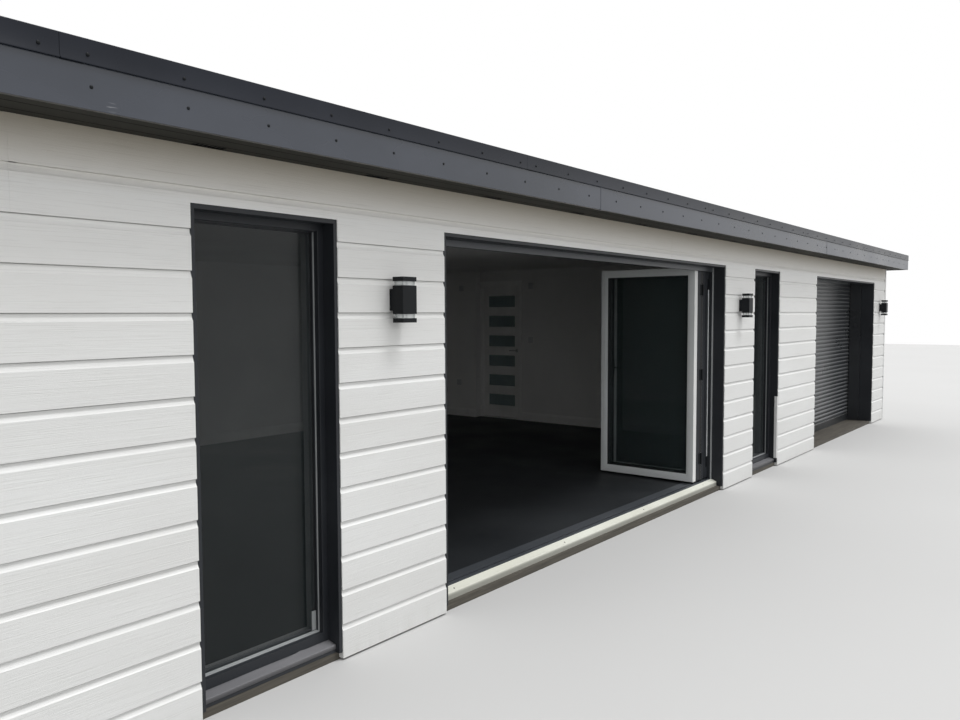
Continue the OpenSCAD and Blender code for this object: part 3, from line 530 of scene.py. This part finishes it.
# %% [markdown]
# Each wall is two pieces: the board skin outside and the insulated core with its painted lining inside.
# At the corners, under the white angles, the front and rear skins stop against the end walls' skins.


# %% Wall builder
skin = 0.020
base_step = 0.030
wall_thickness = 0.250
skin_left = wall_left + skin + 0.0005
skin_right = wall_right - skin - 0.0005


def skin_section(bottom, top, proud=0.0, back=skin):
    """Closed section of the board skin."""
    outside = [(depth - proud, height) for depth, height in board_profile(bottom, top)]
    return outside + [(back, top), (back, bottom)]


def core_section(bottom, top):
    """Closed section of the core behind the skin. At the wall's foot it steps over the base's edge."""
    step = [(base_step, bottom), (base_step, base_top)] if bottom < base_top else []
    room_foot = max(bottom, base_top)
    return [(skin, bottom), *step, (wall_thickness, room_foot), (wall_thickness, top), (skin, top)]


def dress_wall(node, bottom, top, core_top, start, end, face=front_face, way=1):
    """Runs a wall's skin and core along the building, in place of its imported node."""
    boards = Bench()
    boards.run(skin_section(bottom, top), "x", start, end, face, way)
    boards.make(node + "_boards", [cladding], [node])
    core = Bench()
    core.run(core_section(bottom, core_top), "x", start, end, face, way)
    core.make(node + "_core", [wall_paint], [node])


for part in ("left_end", "lamp_left", "lamp_right", "plain", "right_end"):
    pier = "front_pier_" + part
    low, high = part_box(pier)
    dress_wall(pier, board_foot, high.z, high.z, max(low.x, skin_left), min(high.x, skin_right))

# %% Header, rear and end walls
dress_wall("front_header", head_level, soffit_level, wall_top, skin_left, skin_right)
dress_wall("rear_wall", board_foot, soffit_level, wall_top, skin_left, skin_right, rear_face, -1)
end_faces = ((wall_left, 1), (wall_right, -1))
boards = Bench()
core = Bench()
for face, way in end_faces:
    boards.run(skin_section(board_foot, soffit_level), "y", front_face, rear_face, face, way)
    core.run(core_section(board_foot, wall_top), "y", room_face, -room_face, face, way)
boards.make("end_wall_boards", [cladding], ["end_walls"])
core.make("end_wall_cores", [wall_paint], ["end_walls"])

# %% [markdown]
# Boards come in five metre lengths, so a long wall has butt joints, and each joint wears a narrow cover
# of the same profile. In front only the top boards need one. The rear and end walls have them on every
# board, staggered as a carpenter lays them.

# %% Covers over the boards' butt joints
board_length = 5.0
front_joint = -5.966
rear_joint = 1.66
end_joint = 2.0
cover_width = 0.028
cover_proud = 0.0012
cover_back = 0.011
top_board = board_foot + 12 * course


def joint_cover(bench, face, way, axis, place, bottom, top):
    """A short strip of the board profile, set a little proud."""
    section = skin_section(bottom, top, cover_proud, cover_back)
    bench.run(section, axis, place - cover_width / 2, place + cover_width / 2, face, way)


covers = Bench()
for k, foot in enumerate((top_board + lip_round, head_level, head_level)):
    joint_cover(covers, front_face, 1, "x", front_joint + board_length * k, foot, soffit_level)
covers.make("front_joint_covers", [cladding])
covers = Bench()
side_covers = Bench()
for board in range(7):
    odd = board % 2 == 1
    bottom = board_foot + 2 * board * course + lip_round
    top = min(bottom + 2 * course - lip_round, soffit_level)
    first = -rear_joint if odd else rear_joint - board_length
    for place in (first, first + board_length):
        joint_cover(covers, rear_face, -1, "x", place, bottom, top)
    for face, way in end_faces:
        joint_cover(side_covers, face, way, "y", end_joint if odd else -end_joint, bottom, top)
covers.make("rear_joint_covers", [cladding])
side_covers.make("end_joint_covers", [cladding])

# %% [markdown]
# The roof edge is two tiers of dark sheet: a wide fascia, and above it a folded edge trim in two and a
# half metre lengths of one section. A hair gap shows at every joint, with the tail of the next length
# tucked behind it, which peeps out under the drip edge.

# %% Edge trim section
fascia_low, fascia_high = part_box("fascia_long")
end_low, end_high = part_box("fascia_ends")
edge_low, edge_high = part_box("edge_trim_long")
eaves_long = ((fascia_low.y, -1), (fascia_high.y, 1))
eaves_ends = ((end_low.x, -1), (end_high.x, 1))
skin_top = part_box("roof_membrane")[1].z
trim_foot = edge_low.z
trim_sheet = 0.003
trim_kick = 0.006
trim_flange = 0.090
trim_gap = 0.0016
fold = 0.004
tail_length = 0.070
tail_near = 0.0006
tail_far = 0.0022


def edge_section(flange=trim_flange):
    """Section of the folded trim: flange, rounded fold, face and kicked drip edge."""
    crown = skin_top + trim_sheet
    lip = trim_sheet + trim_kick
    bend = [(trim_sheet - fold * (1 - math.sin(t)), crown - fold * (1 - math.cos(t)))
            for t in (math.radians(a) for a in (0, 30, 60, 90))]
    return [(-flange, skin_top), (-flange, crown), *bend, (trim_sheet, trim_foot + 2 * trim_kick),
            (lip, trim_foot + trim_kick / 2), (lip, trim_foot), (trim_kick, trim_foot),
            (0.0, trim_foot + 2 * trim_kick), (0.0, skin_top)]


def trim_run(bench, face, way, axis, start, stops, end):
    """Lengths of trim with a hair gap at each stop, and the tail of the next length tucked behind it."""
    cuts = [start, *stops, end]
    for here, there in zip(cuts, cuts[1:]):
        bench.run(edge_section(), axis, here + trim_gap / 2, there - trim_gap / 2, face, way)
    foot = trim_foot - 0.003
    top = trim_foot + 0.010
    tail = [(tail_near, foot), (tail_far, foot), (tail_far, top), (tail_near, top)]
    for stop in stops:
        bench.run(tail, axis, stop, stop + tail_length, face, way)


# %% Edge trims
trim_length = 2.52
front_stops = [-5.926 + trim_length * k for k in range(5)]
rear_stops = sorted(-stop for stop in front_stops)
side_stops = [-0.75, 1.77]
for (face, way), side, stops in zip(eaves_long, ("front", "rear"), (front_stops, rear_stops)):
    trims = Bench()
    trim_run(trims, face, way, "x", edge_low.x, stops, edge_high.x)
    trims.make("edge_trim_" + side, [edge_coat], ["edge_trim_long"], smooth=True)
side_end = fascia_high.y - trim_flange
corner = [(a, b) for a, b in edge_section(0.0) if b < skin_top + 0.0001]
corner.insert(1, (trim_sheet, skin_top))
trims = Bench()
for face, way in eaves_ends:
    trim_run(trims, face, way, "y", -side_end, side_stops, side_end)
    trims.run(corner, "y", -fascia_high.y, -side_end, face, way)
    trims.run(corner, "y", side_end, fascia_high.y, face, way)
trims.make("edge_trim_sides", [edge_coat], ["edge_trim_ends"], smooth=True)

# %% [markdown]
# Fascia boards are five metres long. Their joints are hidden by a folded cover that also wraps under the
# foot. Both tiers are held by small domed screws at an even pitch. One screw is a turned shape, repeated
# over a list of places, so the whole row stays one light object.

# %% Fascia joint covers
strip_half = 0.017
strip_proud = 0.0014
strip_reach = 0.018
foot_wrap = 0.0012
front_strips = (-2.575, 2.454)
side_strip = 1.75


def fascia_strip(bench, face, way, axis, place):
    """A folded cover, down the face of the fascia and under its foot."""
    top = trim_foot + 0.020
    foot = fascia_low.z - foot_wrap
    bench.run([(0.0, top), (strip_proud, top), (strip_proud, foot), (-strip_reach, foot),
               (-strip_reach, fascia_low.z), (0.0, fascia_low.z)],
              axis, place - strip_half, place + strip_half, face, way)


strips = Bench()
for place in front_strips:
    for face, way in eaves_long:
        fascia_strip(strips, face, way, "x", -way * place)
for face, way in eaves_ends:
    fascia_strip(strips, face, way, "y", side_strip)
strips.make("fascia_joint_covers", [fascia_coat])

# %% Eaves screws
screw_radius = 0.0064
screw_dome = [(screw_radius, -0.001), (screw_radius, 0.0006), (screw_radius * 0.86, 0.0020),
              (screw_radius * 0.55, 0.0031), (screw_radius * 0.15, 0.0036)]
fascia_row = 2.405
fascia_first = -5.828
fascia_pitch = 0.3437
trim_row = 2.505
trim_first = 0.088
trim_pitch = 0.3385
places = [(fascia_first + fascia_pitch * k, 0.0, fascia_row) for k in range(-2, 37)]
for stop in [front_stops[0] - trim_length, *front_stops]:
    places += [(stop + trim_first + trim_pitch * k, trim_sheet, trim_row) for k in range(8)]
screws = Bench()
for x, proud, row in places:
    if abs(x) < edge_high.x - 0.03:
        for face, way in eaves_long:
            screws.turned(screw_dome, (-way * x, face + way * proud, row), (0, way, 0))
for face, way in eaves_ends:
    for k in range(-9, 10):
        y = fascia_pitch * k
        screws.turned(screw_dome, (face, y, fascia_row), (way, 0, 0))
        screws.turned(screw_dome, (face + way * trim_sheet, y + 0.12, trim_row), (way, 0, 0))
screws.make("eaves_screws", [black_coat], smooth=True)

# %% [markdown]
# The membrane comes on metre wide rolls. Each lap is a slightly raised band, which is all that a flat
# roof shows from above. Under the eaves, each vent in the soffit is closed by a grille of seven bars.

# %% Membrane laps and soffit vents
roof_low, roof_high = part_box("roof_membrane")
lap_top = skin_top + 0.0014
laps = Bench()
for k in range(-2, 4):
    y = k - 0.5
    laps.run([(y, skin_top), (y, skin_top + 0.0009), (y + 0.004, lap_top), (y + 0.056, lap_top),
              (y + 0.060, skin_top)], "x", roof_low.x + trim_flange, roof_high.x - trim_flange)
laps.make("membrane_laps", [roof_felt])

vent_pitch = 0.920
vent_shift = 0.270
vent_y = 3.030
vent_half = 0.020
first_bar = -0.056
bar_pitch = 0.0187
bar_half = 0.0035
grilles = Bench()
for k in range(-7, 7):
    for y in (-vent_y, vent_y):
        for bar in range(7):
            x = vent_shift + vent_pitch * k + first_bar + bar * bar_pitch
            grilles.block((x - bar_half, y - vent_half, soffit_level + 0.003),
                          (x + bar_half, y + vent_half, soffit_level + 0.0055))
grilles.make("soffit_vent_grilles", [black_coat])

# %% [markdown]
# Tall windows: the aluminium frame stays as packed. Gaskets grip the sealed unit on both faces, a
# grooved bead lines the frame in front of the glass, a grey spacer bar shows between the two sheets, and
# a thin pale cover lies on the room side. Each is one section swept round the pane with mitred corners,
# as a real bead is cut. The pale bead gets painted shade: it is dark under the head, and on the sides only
# its lip is pale, so it is swept in three parts with their own marks. A packer is left in the first
# window's lower corner.

# %% Window gaskets, beads and inside covers
pane_low, pane_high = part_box("window_panes")
frame_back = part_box("window_frames")[1].y
window_edges = [(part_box("front_pier_left_end")[1].x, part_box("front_pier_lamp_left")[0].x),
                (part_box("front_pier_lamp_right")[1].x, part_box("front_pier_plain")[0].x)]
glass_side = pane_low.x - window_edges[0][0]
seat = -0.0002
bead_front = pane_low.y - 0.026
# Painted shade: the marks paint the bead dark under the head, and dark on the sides but for its lip.
lit_and_shaded_bead_parts = (((0, 0, 2, 0), [(seat, 0.0), (0.004, 0.001), (0.0045, 0.006), (0.002, 0.007), (seat, 0.0072)]),
              ((0, 2, 2, 2), [(seat, 0.0072), (0.002, 0.0072), (0.002, 0.0095), (0.0055, 0.0105),
                              (0.006, 0.0165), (seat, 0.0168)]),
              ((1, 2, 2, 2), [(seat, 0.0168), (0.0025, 0.0168), (0.0025, 0.025), (seat, 0.025)]))
cover_foot = pane_high.y + 0.003
cover_face = frame_back + 0.0016
cover_side = -0.050
spacer_low = pane_low.y + 0.004
spacer_high = pane_high.y - 0.004
rubber = Bench()
beads = Bench()
covers = Bench()
spacers = Bench()
for a, b in window_edges:
    low = (a + glass_side, pane_low.z)
    high = (b - glass_side, pane_high.z)
    for face, way in ((pane_low.y, -1), (pane_high.y, 1)):
        rubber.frame("y", low, high, [(0.0, 0.0), (0.0, 0.001), (0.003, 0.001), (0.0035, 0.0)], face, way)
    for marks, section in lit_and_shaded_bead_parts:
        beads.frame("y", low, high, section, bead_front, marks=marks)
    covers.frame("y", low, high, [(0.0014, cover_foot), (0.0014, cover_face), (cover_side, cover_face),
                                  (cover_side, frame_back), (seat, frame_back), (seat, cover_foot)])
    spacers.frame("y", low, high, [(0.0004, spacer_low), (0.010, spacer_low), (0.010, spacer_high),
                                   (0.0004, spacer_high)])
spacers.make("window_spacer_bars", [bead_coat])
packer = Bench()
packer_right = window_edges[0][1] - glass_side - 0.0025
packer.block((packer_right - 0.026, pane_low.y - 0.006, pane_low.z + 0.006),
             (packer_right, pane_low.y - 0.0002, 0.234))
packer.make("window_packer", [light_coat], edge=0.001)
rubber.make("window_gaskets", [gasket])
beads.make("window_beads", [light_coat, bead_coat, anthracite])
covers.make("window_inside_covers", [leaf_coat])

# %% [markdown]
# A thin sheet lies on the sloping board in front of each window, folded down over its edge. It was bent
# by hand, so one long crease crosses it, and it lifts a little along the frame. It is a fine grid of
# points whose heights follow the slope plus a few soft waves.

# %% Sill sheets
slope_front = -2.970
slope_depth = pane_low.y - 0.054 - slope_front
slope_low = 0.078
slope_high = 0.088
side_gap = 0.0212
sheet_build = 0.0009
crease_height = 0.0035
crease_width = 0.02
wave_height = 0.0007
columns = 60


def sill_sheet_at(bench, start, end):
    """A creased sheet on the slope, from its folded front edge back to the frame."""
    rows = [(slope_front - 0.0012, -0.020), (slope_front - 0.0012, -0.001), (slope_front, 0.0006)]
    rows += [(slope_front + k / 8 * (slope_depth - 0.0008), None) for k in range(1, 9)]
    first = len(bench.points)
    for i in range(columns + 1):
        x = start + (end - start) * i / columns
        for y, rise in rows:
            if rise is None:
                share = (y - slope_front) / slope_depth
                crease = crease_height * math.exp(-((x - start - 0.20 - 0.35 * share) / crease_width) ** 2)
                wave = wave_height * (1 + math.sin(17 * x + 5 * share))
                rise = sheet_build + share * (slope_high - slope_low + crease + wave)
            bench.points.append((x, y, slope_low + rise))
    width = len(rows)
    for i in range(columns):
        for j in range(width - 1):
            a = first + i * width + j
            bench.face((a, a + width, a + width + 1, a + 1))


sheets = Bench()
for a, b in window_edges:
    sill_sheet_at(sheets, a + side_gap, b - side_gap)
piece = sheets.make("window_sill_sheets", [sill_sheet], smooth=True)
metal = piece.modifiers.new("sheet metal", "SOLIDIFY")
metal.thickness = 0.0008
metal.offset = 0.0

# %% [markdown]
# On the second window's right side a strip of pale trim covers the foot of the dark lining. It wraps the
# lining's front edge, so it is an angle run upwards.

# %% Lining cover
wall_edge = window_edges[1][1]
lining_face = wall_edge - 0.020
lining_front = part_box("reveal_jambs")[0].y
side_face = lining_face - 0.0015
front_side = lining_front - 0.0015
angle_back = lining_front + 0.028
angle = Bench()
angle.run([(side_face, angle_back), (lining_face, angle_back), (lining_face, lining_front),
           (wall_edge, lining_front), (wall_edge, front_side), (side_face, front_side)],
          "z", slope_high + 0.002, 0.765)
angle.make("lining_cover", [trim_white])

# %% [markdown]
# Each folding leaf is coated in two colours, with a thermal break between them. So a leaf is made of two
# frames swept round the same rectangle: a deep dark one outside and a thin pale one inside, with its
# glazing bead set back. Gaskets line the glass on both sides.

# %% Folding leaves
leaf_low, leaf_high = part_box("bifold_leaf_frames")
leaf_sheet = 0.065
shell = 0.008
stile = 0.068
dark_depth = leaf_sheet - shell - 0.001
dark_section = [(0.0, 0.0012), (0.0012, 0.0), (0.060, 0.0), (stile, 0.007), (stile, dark_depth),
                (0.0, dark_depth)]
pale_section = [(0.0, shell), (0.0, 0.0012), (0.0012, 0.0), (0.0455, 0.0), (0.0455, 0.005), (0.063, 0.005),
                (stile, 0.0075), (stile, shell)]
gasket_section = [(-0.0005, 0.0), (-0.0005, 0.009), (0.004, 0.008), (0.006, 0.0)]
glass_faces = ((0.0445, 1), (0.0205, -1))
stacked = []
place = leaf_high.x - leaf_sheet
for gap in (0.010, 0.040, 0.010, 0.0):
    stacked.append(place)
    place -= gap + leaf_sheet
print("leaves start at", [round(x, 3) for x in stacked], "and the CAD starts at", round(leaf_low.x, 3))
dark = Bench()
pale = Bench()
rubber = Bench()
low = (leaf_low.y, leaf_low.z)
high = (leaf_high.y, leaf_high.z)
glass_low = (low[0] + stile, low[1] + stile)
glass_high = (high[0] - stile, high[1] - stile)
for number, x in enumerate(stacked):
    way = 1 if number % 2 == 0 else -1
    outer = x if way > 0 else x + leaf_sheet
    dark.frame("x", low, high, dark_section, outer, way)
    pale.frame("x", low, high, pale_section, outer + way * leaf_sheet, -way)
    for depth, step in glass_faces:
        rubber.frame("x", glass_low, glass_high, gasket_section, x + depth, step)

# %% [markdown]
# The leaf nearest the open side has a pale edge in the whiter trim paint, partly a painted highlight, and
# the leaf at the jamb wears a pale rebate strip between its hinge covers. The near edges of the two middle
# leaves are sealed by a black flap, in lengths between the hinges.

# %% Leaf edges, flaps and hinge covers
front = low[0]
foot = low[1]
head = high[1]
edge_front = front - 0.0008
edge_leaf = stacked[-1]
# The open-side leaf's edge takes the whiter trim paint: a pale edge with a painted highlight on it.
pale.block((edge_leaf + 0.001, edge_front, foot), (edge_leaf + leaf_sheet - 0.001, front, head), 1)
for x in stacked[:-1]:
    dark.block((x + 0.0005, edge_front, foot), (x + leaf_sheet - 0.0005, front, head))
rebate_low = foot + 0.200
rebate_high = head - 0.195
strip_end = stacked[0] + leaf_sheet - 0.002
pale.block((strip_end - 0.015, front - 0.0025, rebate_low), (strip_end, front, rebate_high))
flaps = ((foot + 0.005, foot + 0.149), (foot + 0.251, 1.0520), (1.1530, head - 0.251),
         (head - 0.149, head - 0.005))
for bottom, top in flaps:
    rubber.block((stacked[2] + leaf_sheet + 0.0005, front + 0.0005, bottom),
                 (stacked[1] + 0.0005, front + 0.0065, top))
covers = Bench()
for bottom, top in ((rebate_low - 0.100, rebate_low - 0.001), (rebate_high + 0.001, rebate_high + 0.100)):
    covers.block((strip_end - 0.034, front - 0.006, bottom), (strip_end + 0.001, front, top))
covers.make("bifold_hinge_covers", [black_coat], edge=0.0015)
dark.make("bifold_leaves_outside", [anthracite], ["bifold_leaf_frames"])
pale.make("bifold_leaves_inside", [leaf_coat, trim_white], ["bifold_leaf_frames"])
rubber.make("bifold_gaskets", [gasket])

# %% [markdown]
# The fixed frame of the folding set has a glossier, greyer face than its linings at the head and at the
# jambs. The sill is screwed down along its nose.

# %% Folding frame faces and sill screws
jamb_low, jamb_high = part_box("bifold_jambs")
track_low, track_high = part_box("bifold_head_track")
sill_low, sill_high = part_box("bifold_sill")
face_front = jamb_low.y - 0.0012
jamb_visible = 0.035
faces_left = jamb_low.x + 0.055
faces_right = jamb_high.x - 0.055
faces = Bench()
faces.block((faces_left, face_front, track_low.z + 0.002), (faces_right, jamb_low.y, track_high.z - 0.022))
for x in (faces_left - jamb_visible, faces_right):
    faces.block((x, face_front, jamb_low.z + 0.05), (x + jamb_visible - 0.0005, jamb_low.y, jamb_high.z), 1)
faces.make("bifold_frame_faces", [track_coat, light_coat], edge=0.0005)
sill_first = -3.64
sill_pitch = 1.18
sill_dome = [(0.0055, -0.002), (0.0055, 0.001), (0.004, 0.0022), (0.001, 0.0026)]
screws = Bench()
for k in range(4):
    place = (sill_first + sill_pitch * k, sill_low.y + 0.022, sill_high.z - 0.012)
    screws.turned(sill_dome, place, (0, -0.2, 1), 10)
screws.make("sill_screws", [black_coat], smooth=True)

# %% [markdown]
# The roller shutter is a stack of hooked laths. Each bulges outwards between two narrow grooves, where
# it hooks into the next, and that curve breaks the light into lines. One section of the whole curtain is
# drawn by formula and run across the opening. Its bottom bar has one bright line.

# %% Shutter curtain
curtain_low, curtain_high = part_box("shutter_curtain")
lath_count = 36
lath_pitch = (curtain_high.z - curtain_low.z) / lath_count
lath_groove = 0.007
lath_rise = lath_pitch - lath_groove
lath_bulge = 0.006
lath_steps = 8
hook_depth = 1.7 * lath_bulge
curtain_depth = curtain_high.y - curtain_low.y
section = []
for lath in range(lath_count):
    z = curtain_low.z + lath * lath_pitch
    for step in range(lath_steps + 1):
        share = step / lath_steps
        section.append((lath_bulge * (2 * share - 1) ** 2, z + share * lath_rise))
    section += [(hook_depth, z + lath_rise + share * lath_groove) for share in (0.2, 0.8)]
section += [(lath_bulge, curtain_high.z), (curtain_depth, curtain_high.z), (curtain_depth, curtain_low.z)]
laths = Bench()
laths.run(section, "x", curtain_low.x, curtain_high.x, curtain_low.y)
laths.make("shutter_laths", [shutter_coat], ["shutter_curtain"], smooth=True)
bar_low, bar_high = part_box("shutter_bottom_bar")
line_foot = bar_high.z - 0.0085
rail = Bench()
bright = [(-0.0008, line_foot), (-0.0008, bar_high.z - 0.0045), (0.006, bar_high.z - 0.0006),
          (0.006, bar_high.z - 0.006), (0.0, line_foot)]
rail.run(bright, "x", bar_low.x + 0.03, bar_high.x - 0.03, bar_low.y)
rail.make("shutter_bar_line", [steel])

# %% [markdown]
# The inner door is a flush leaf with six panes. Each pane is held by a thin bead on both sides, and the
# beads ride with the door when it opens.

# %% Inner door beads
door_low, door_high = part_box("inner_door_leaf")
slot_low, slot_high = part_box("inner_door_panes")
slot_height = 0.175
slot_pitch = 0.298
bead_lap = 0.012
bead_section = [(0.0, 0.0), (0.002, 0.0025), (bead_lap, 0.003), (0.015, 0.0), (0.018, -0.008),
                (bead_lap, -0.008)]
beads = Bench()
for k in range(6):
    top = slot_high.z - k * slot_pitch
    low = (slot_low.y - bead_lap, top - slot_height - bead_lap)
    high = (slot_high.y + bead_lap, top + bead_lap)
    for face, way in ((door_low.x, -1), (door_high.x, 1)):
        beads.frame("x", low, high, bead_section, face, way)
beads.make("inner_door_beads", [door_paint], body="inner_door")

# %% [markdown]
# Four small fittings show on the inner wall: a switch at hand height, a socket low down, and a plate
# high up above each. Each is a metal plate with a rocker, eased all round.

# %% Wall plates
wall_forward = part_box("partition_sides")[0].x
door_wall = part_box("partition_head")[0].x
plate_half = 0.043
plates = Bench()
rockers = Bench()
for face, y, z in ((door_wall, 0.842, 1.291), (door_wall, 0.841, 2.078), (wall_forward, 2.112, 0.620),
                   (wall_forward, 2.061, 2.067)):
    plates.block((face - 0.009, y - plate_half, z - plate_half),
                 (face - 0.0002, y + plate_half, z + plate_half))
    rockers.block((face - 0.0125, y - 0.013, z - 0.022), (face - 0.0085, y + 0.013, z + 0.022))
plates.make("wall_plates", [galvanised], edge=0.003)
rockers.make("wall_plate_rockers", [galvanised], edge=0.0012)

# %% [markdown]
# The solids that stay as they are only need their coats and eased edges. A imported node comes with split
# corners, so it is welded before its edges are eased.


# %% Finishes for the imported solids
def clothe(finish, *names):
    """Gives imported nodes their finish."""
    for name in names:
        slots = nodes[name].data.materials
        slots.clear()
        slots.append(finish.material)


clothe(trim_white, "corner_trims")
clothe(timber, "base_floor", "roof_panel")
clothe(floor_rubber, "room_floor")
clothe(wall_paint, "ceilings", "partition_sides", "partition_head")
clothe(roof_felt, "roof_membrane")
clothe(fascia_coat, "fascia_long", "fascia_ends")
clothe(soffit_board, "soffit_long", "soffit_ends")
clothe(anthracite, "reveal_jambs", "reveal_heads", "window_frames", "bifold_jambs", "bifold_head_track")
clothe(track_coat, "bifold_bottom_track")
clothe(sill_coat, "bifold_sill")
clothe(glass, "window_panes")
clothe(door_glass, "inner_door_panes")
clothe(leaf_glass, "bifold_panes")
clothe(steel, "inner_door_hinges", "inner_door_furniture")
clothe(black_coat, "bifold_hardware", "lamp_bodies")
clothe(shutter_coat, "shutter_bottom_bar", "shutter_guides")
clothe(galvanised, "shutter_box")
clothe(door_paint, "inner_door_frame", "inner_door_leaf", "skirting")
clothe(clear_plastic, "lamp_rings")
eased = {0.001: ("corner_trims",), 0.002: ("window_frames", "lamp_bodies"),
         0.0015: ("fascia_long", "fascia_ends", "reveal_jambs", "reveal_heads", "bifold_jambs",
                  "inner_door_leaf")}
for width, names in eased.items():
    for name in names:
        weld = nodes[name].modifiers.new("weld", "WELD")
        weld.merge_threshold = 0.00005
        ease_edges(nodes[name], width)
print("eased", sum(len(names) for names in eased.values()), "packed nodes")

# %% [markdown]
# A plain studio: a pale floor that takes the shadow, a white surround, and one large soft lamp high up in
# front, so steep that the eaves shade the upper courses and the bevels below catch the light. The floor
# looks pale to the camera, in gloss and through glass, but throws back less light, so faces that look up
# stay brighter than faces that look down.

# %% Studio floor
stock = Bench()
stock.run([(-40.0, -40.0), (40.0, -40.0), (40.0, 40.0), (-40.0, 40.0)], "z", -0.02, -0.0005)
studio_floor = Finish("studio_floor", roughness=0.9)
shade = studio_floor.noise(0.4, detail=2.0)
studio_floor.tone(shade, (0.23, 0.23, 0.225), (0.26, 0.26, 0.255), 0.0, 1.0)
pale_floor = studio_floor.mix(shade, (0.50, 0.50, 0.497), (0.53, 0.53, 0.527))
studio_floor.overlay(studio_floor.seen(), pale_floor)
floor_sheet = stock.build("studio_floor", [studio_floor])

# %% Surround and lamp
surround_light = 1.03
world = bpy.data.worlds.new("surround")
scene.world = world
surround = Tree(world)
backing = surround.tree.nodes["Background"]
surround.feed(backing.inputs["Color"], (1.0, 1.0, 1.0))
surround.feed(backing.inputs["Strength"], surround.spread(surround.seen(), 0.0, 1.0, surround_light, 1.0))

key = bpy.data.lights.new("key", "SUN")
key.energy = 1.8
key.angle = math.radians(24)
key_way = Vector((-0.16, 0.36, -0.92))
stand("key", key).rotation_euler = key_way.to_track_quat("-Z", "Y").to_euler()
scene.view_settings.view_transform = "Standard"
print("studio ready")

# %% [markdown]
# The camera is the photographer's: its place, turn and lens were worked out from the boards' lines, level
# and evenly spaced on the real wall. A new camera looks straight down, so it is rolled about its own line
# of sight, tipped up to just below level, and then turned to its heading.

# %% Camera
eye = Vector((-7.096, -5.8816, 1.6696))
yaw = math.radians(38.657)
pitch = math.radians(3.270)
roll = math.radians(-0.2376)
camera_data = bpy.data.cameras.new("camera")
camera_data.sensor_width = 36.0
camera_data.lens = 30.0
camera_data.clip_end = 200.0
quarter = math.pi / 2
turned = Matrix.Rotation(yaw - quarter, 4, "Z") @ Matrix.Rotation(quarter - pitch, 4, "X")
scene.camera = stand("camera", camera_data)
scene.camera.matrix_world = Matrix.Translation(eye) @ turned @ Matrix.Rotation(roll, 4, "Z")
print("camera at", tuple(round(v, 3) for v in eye))
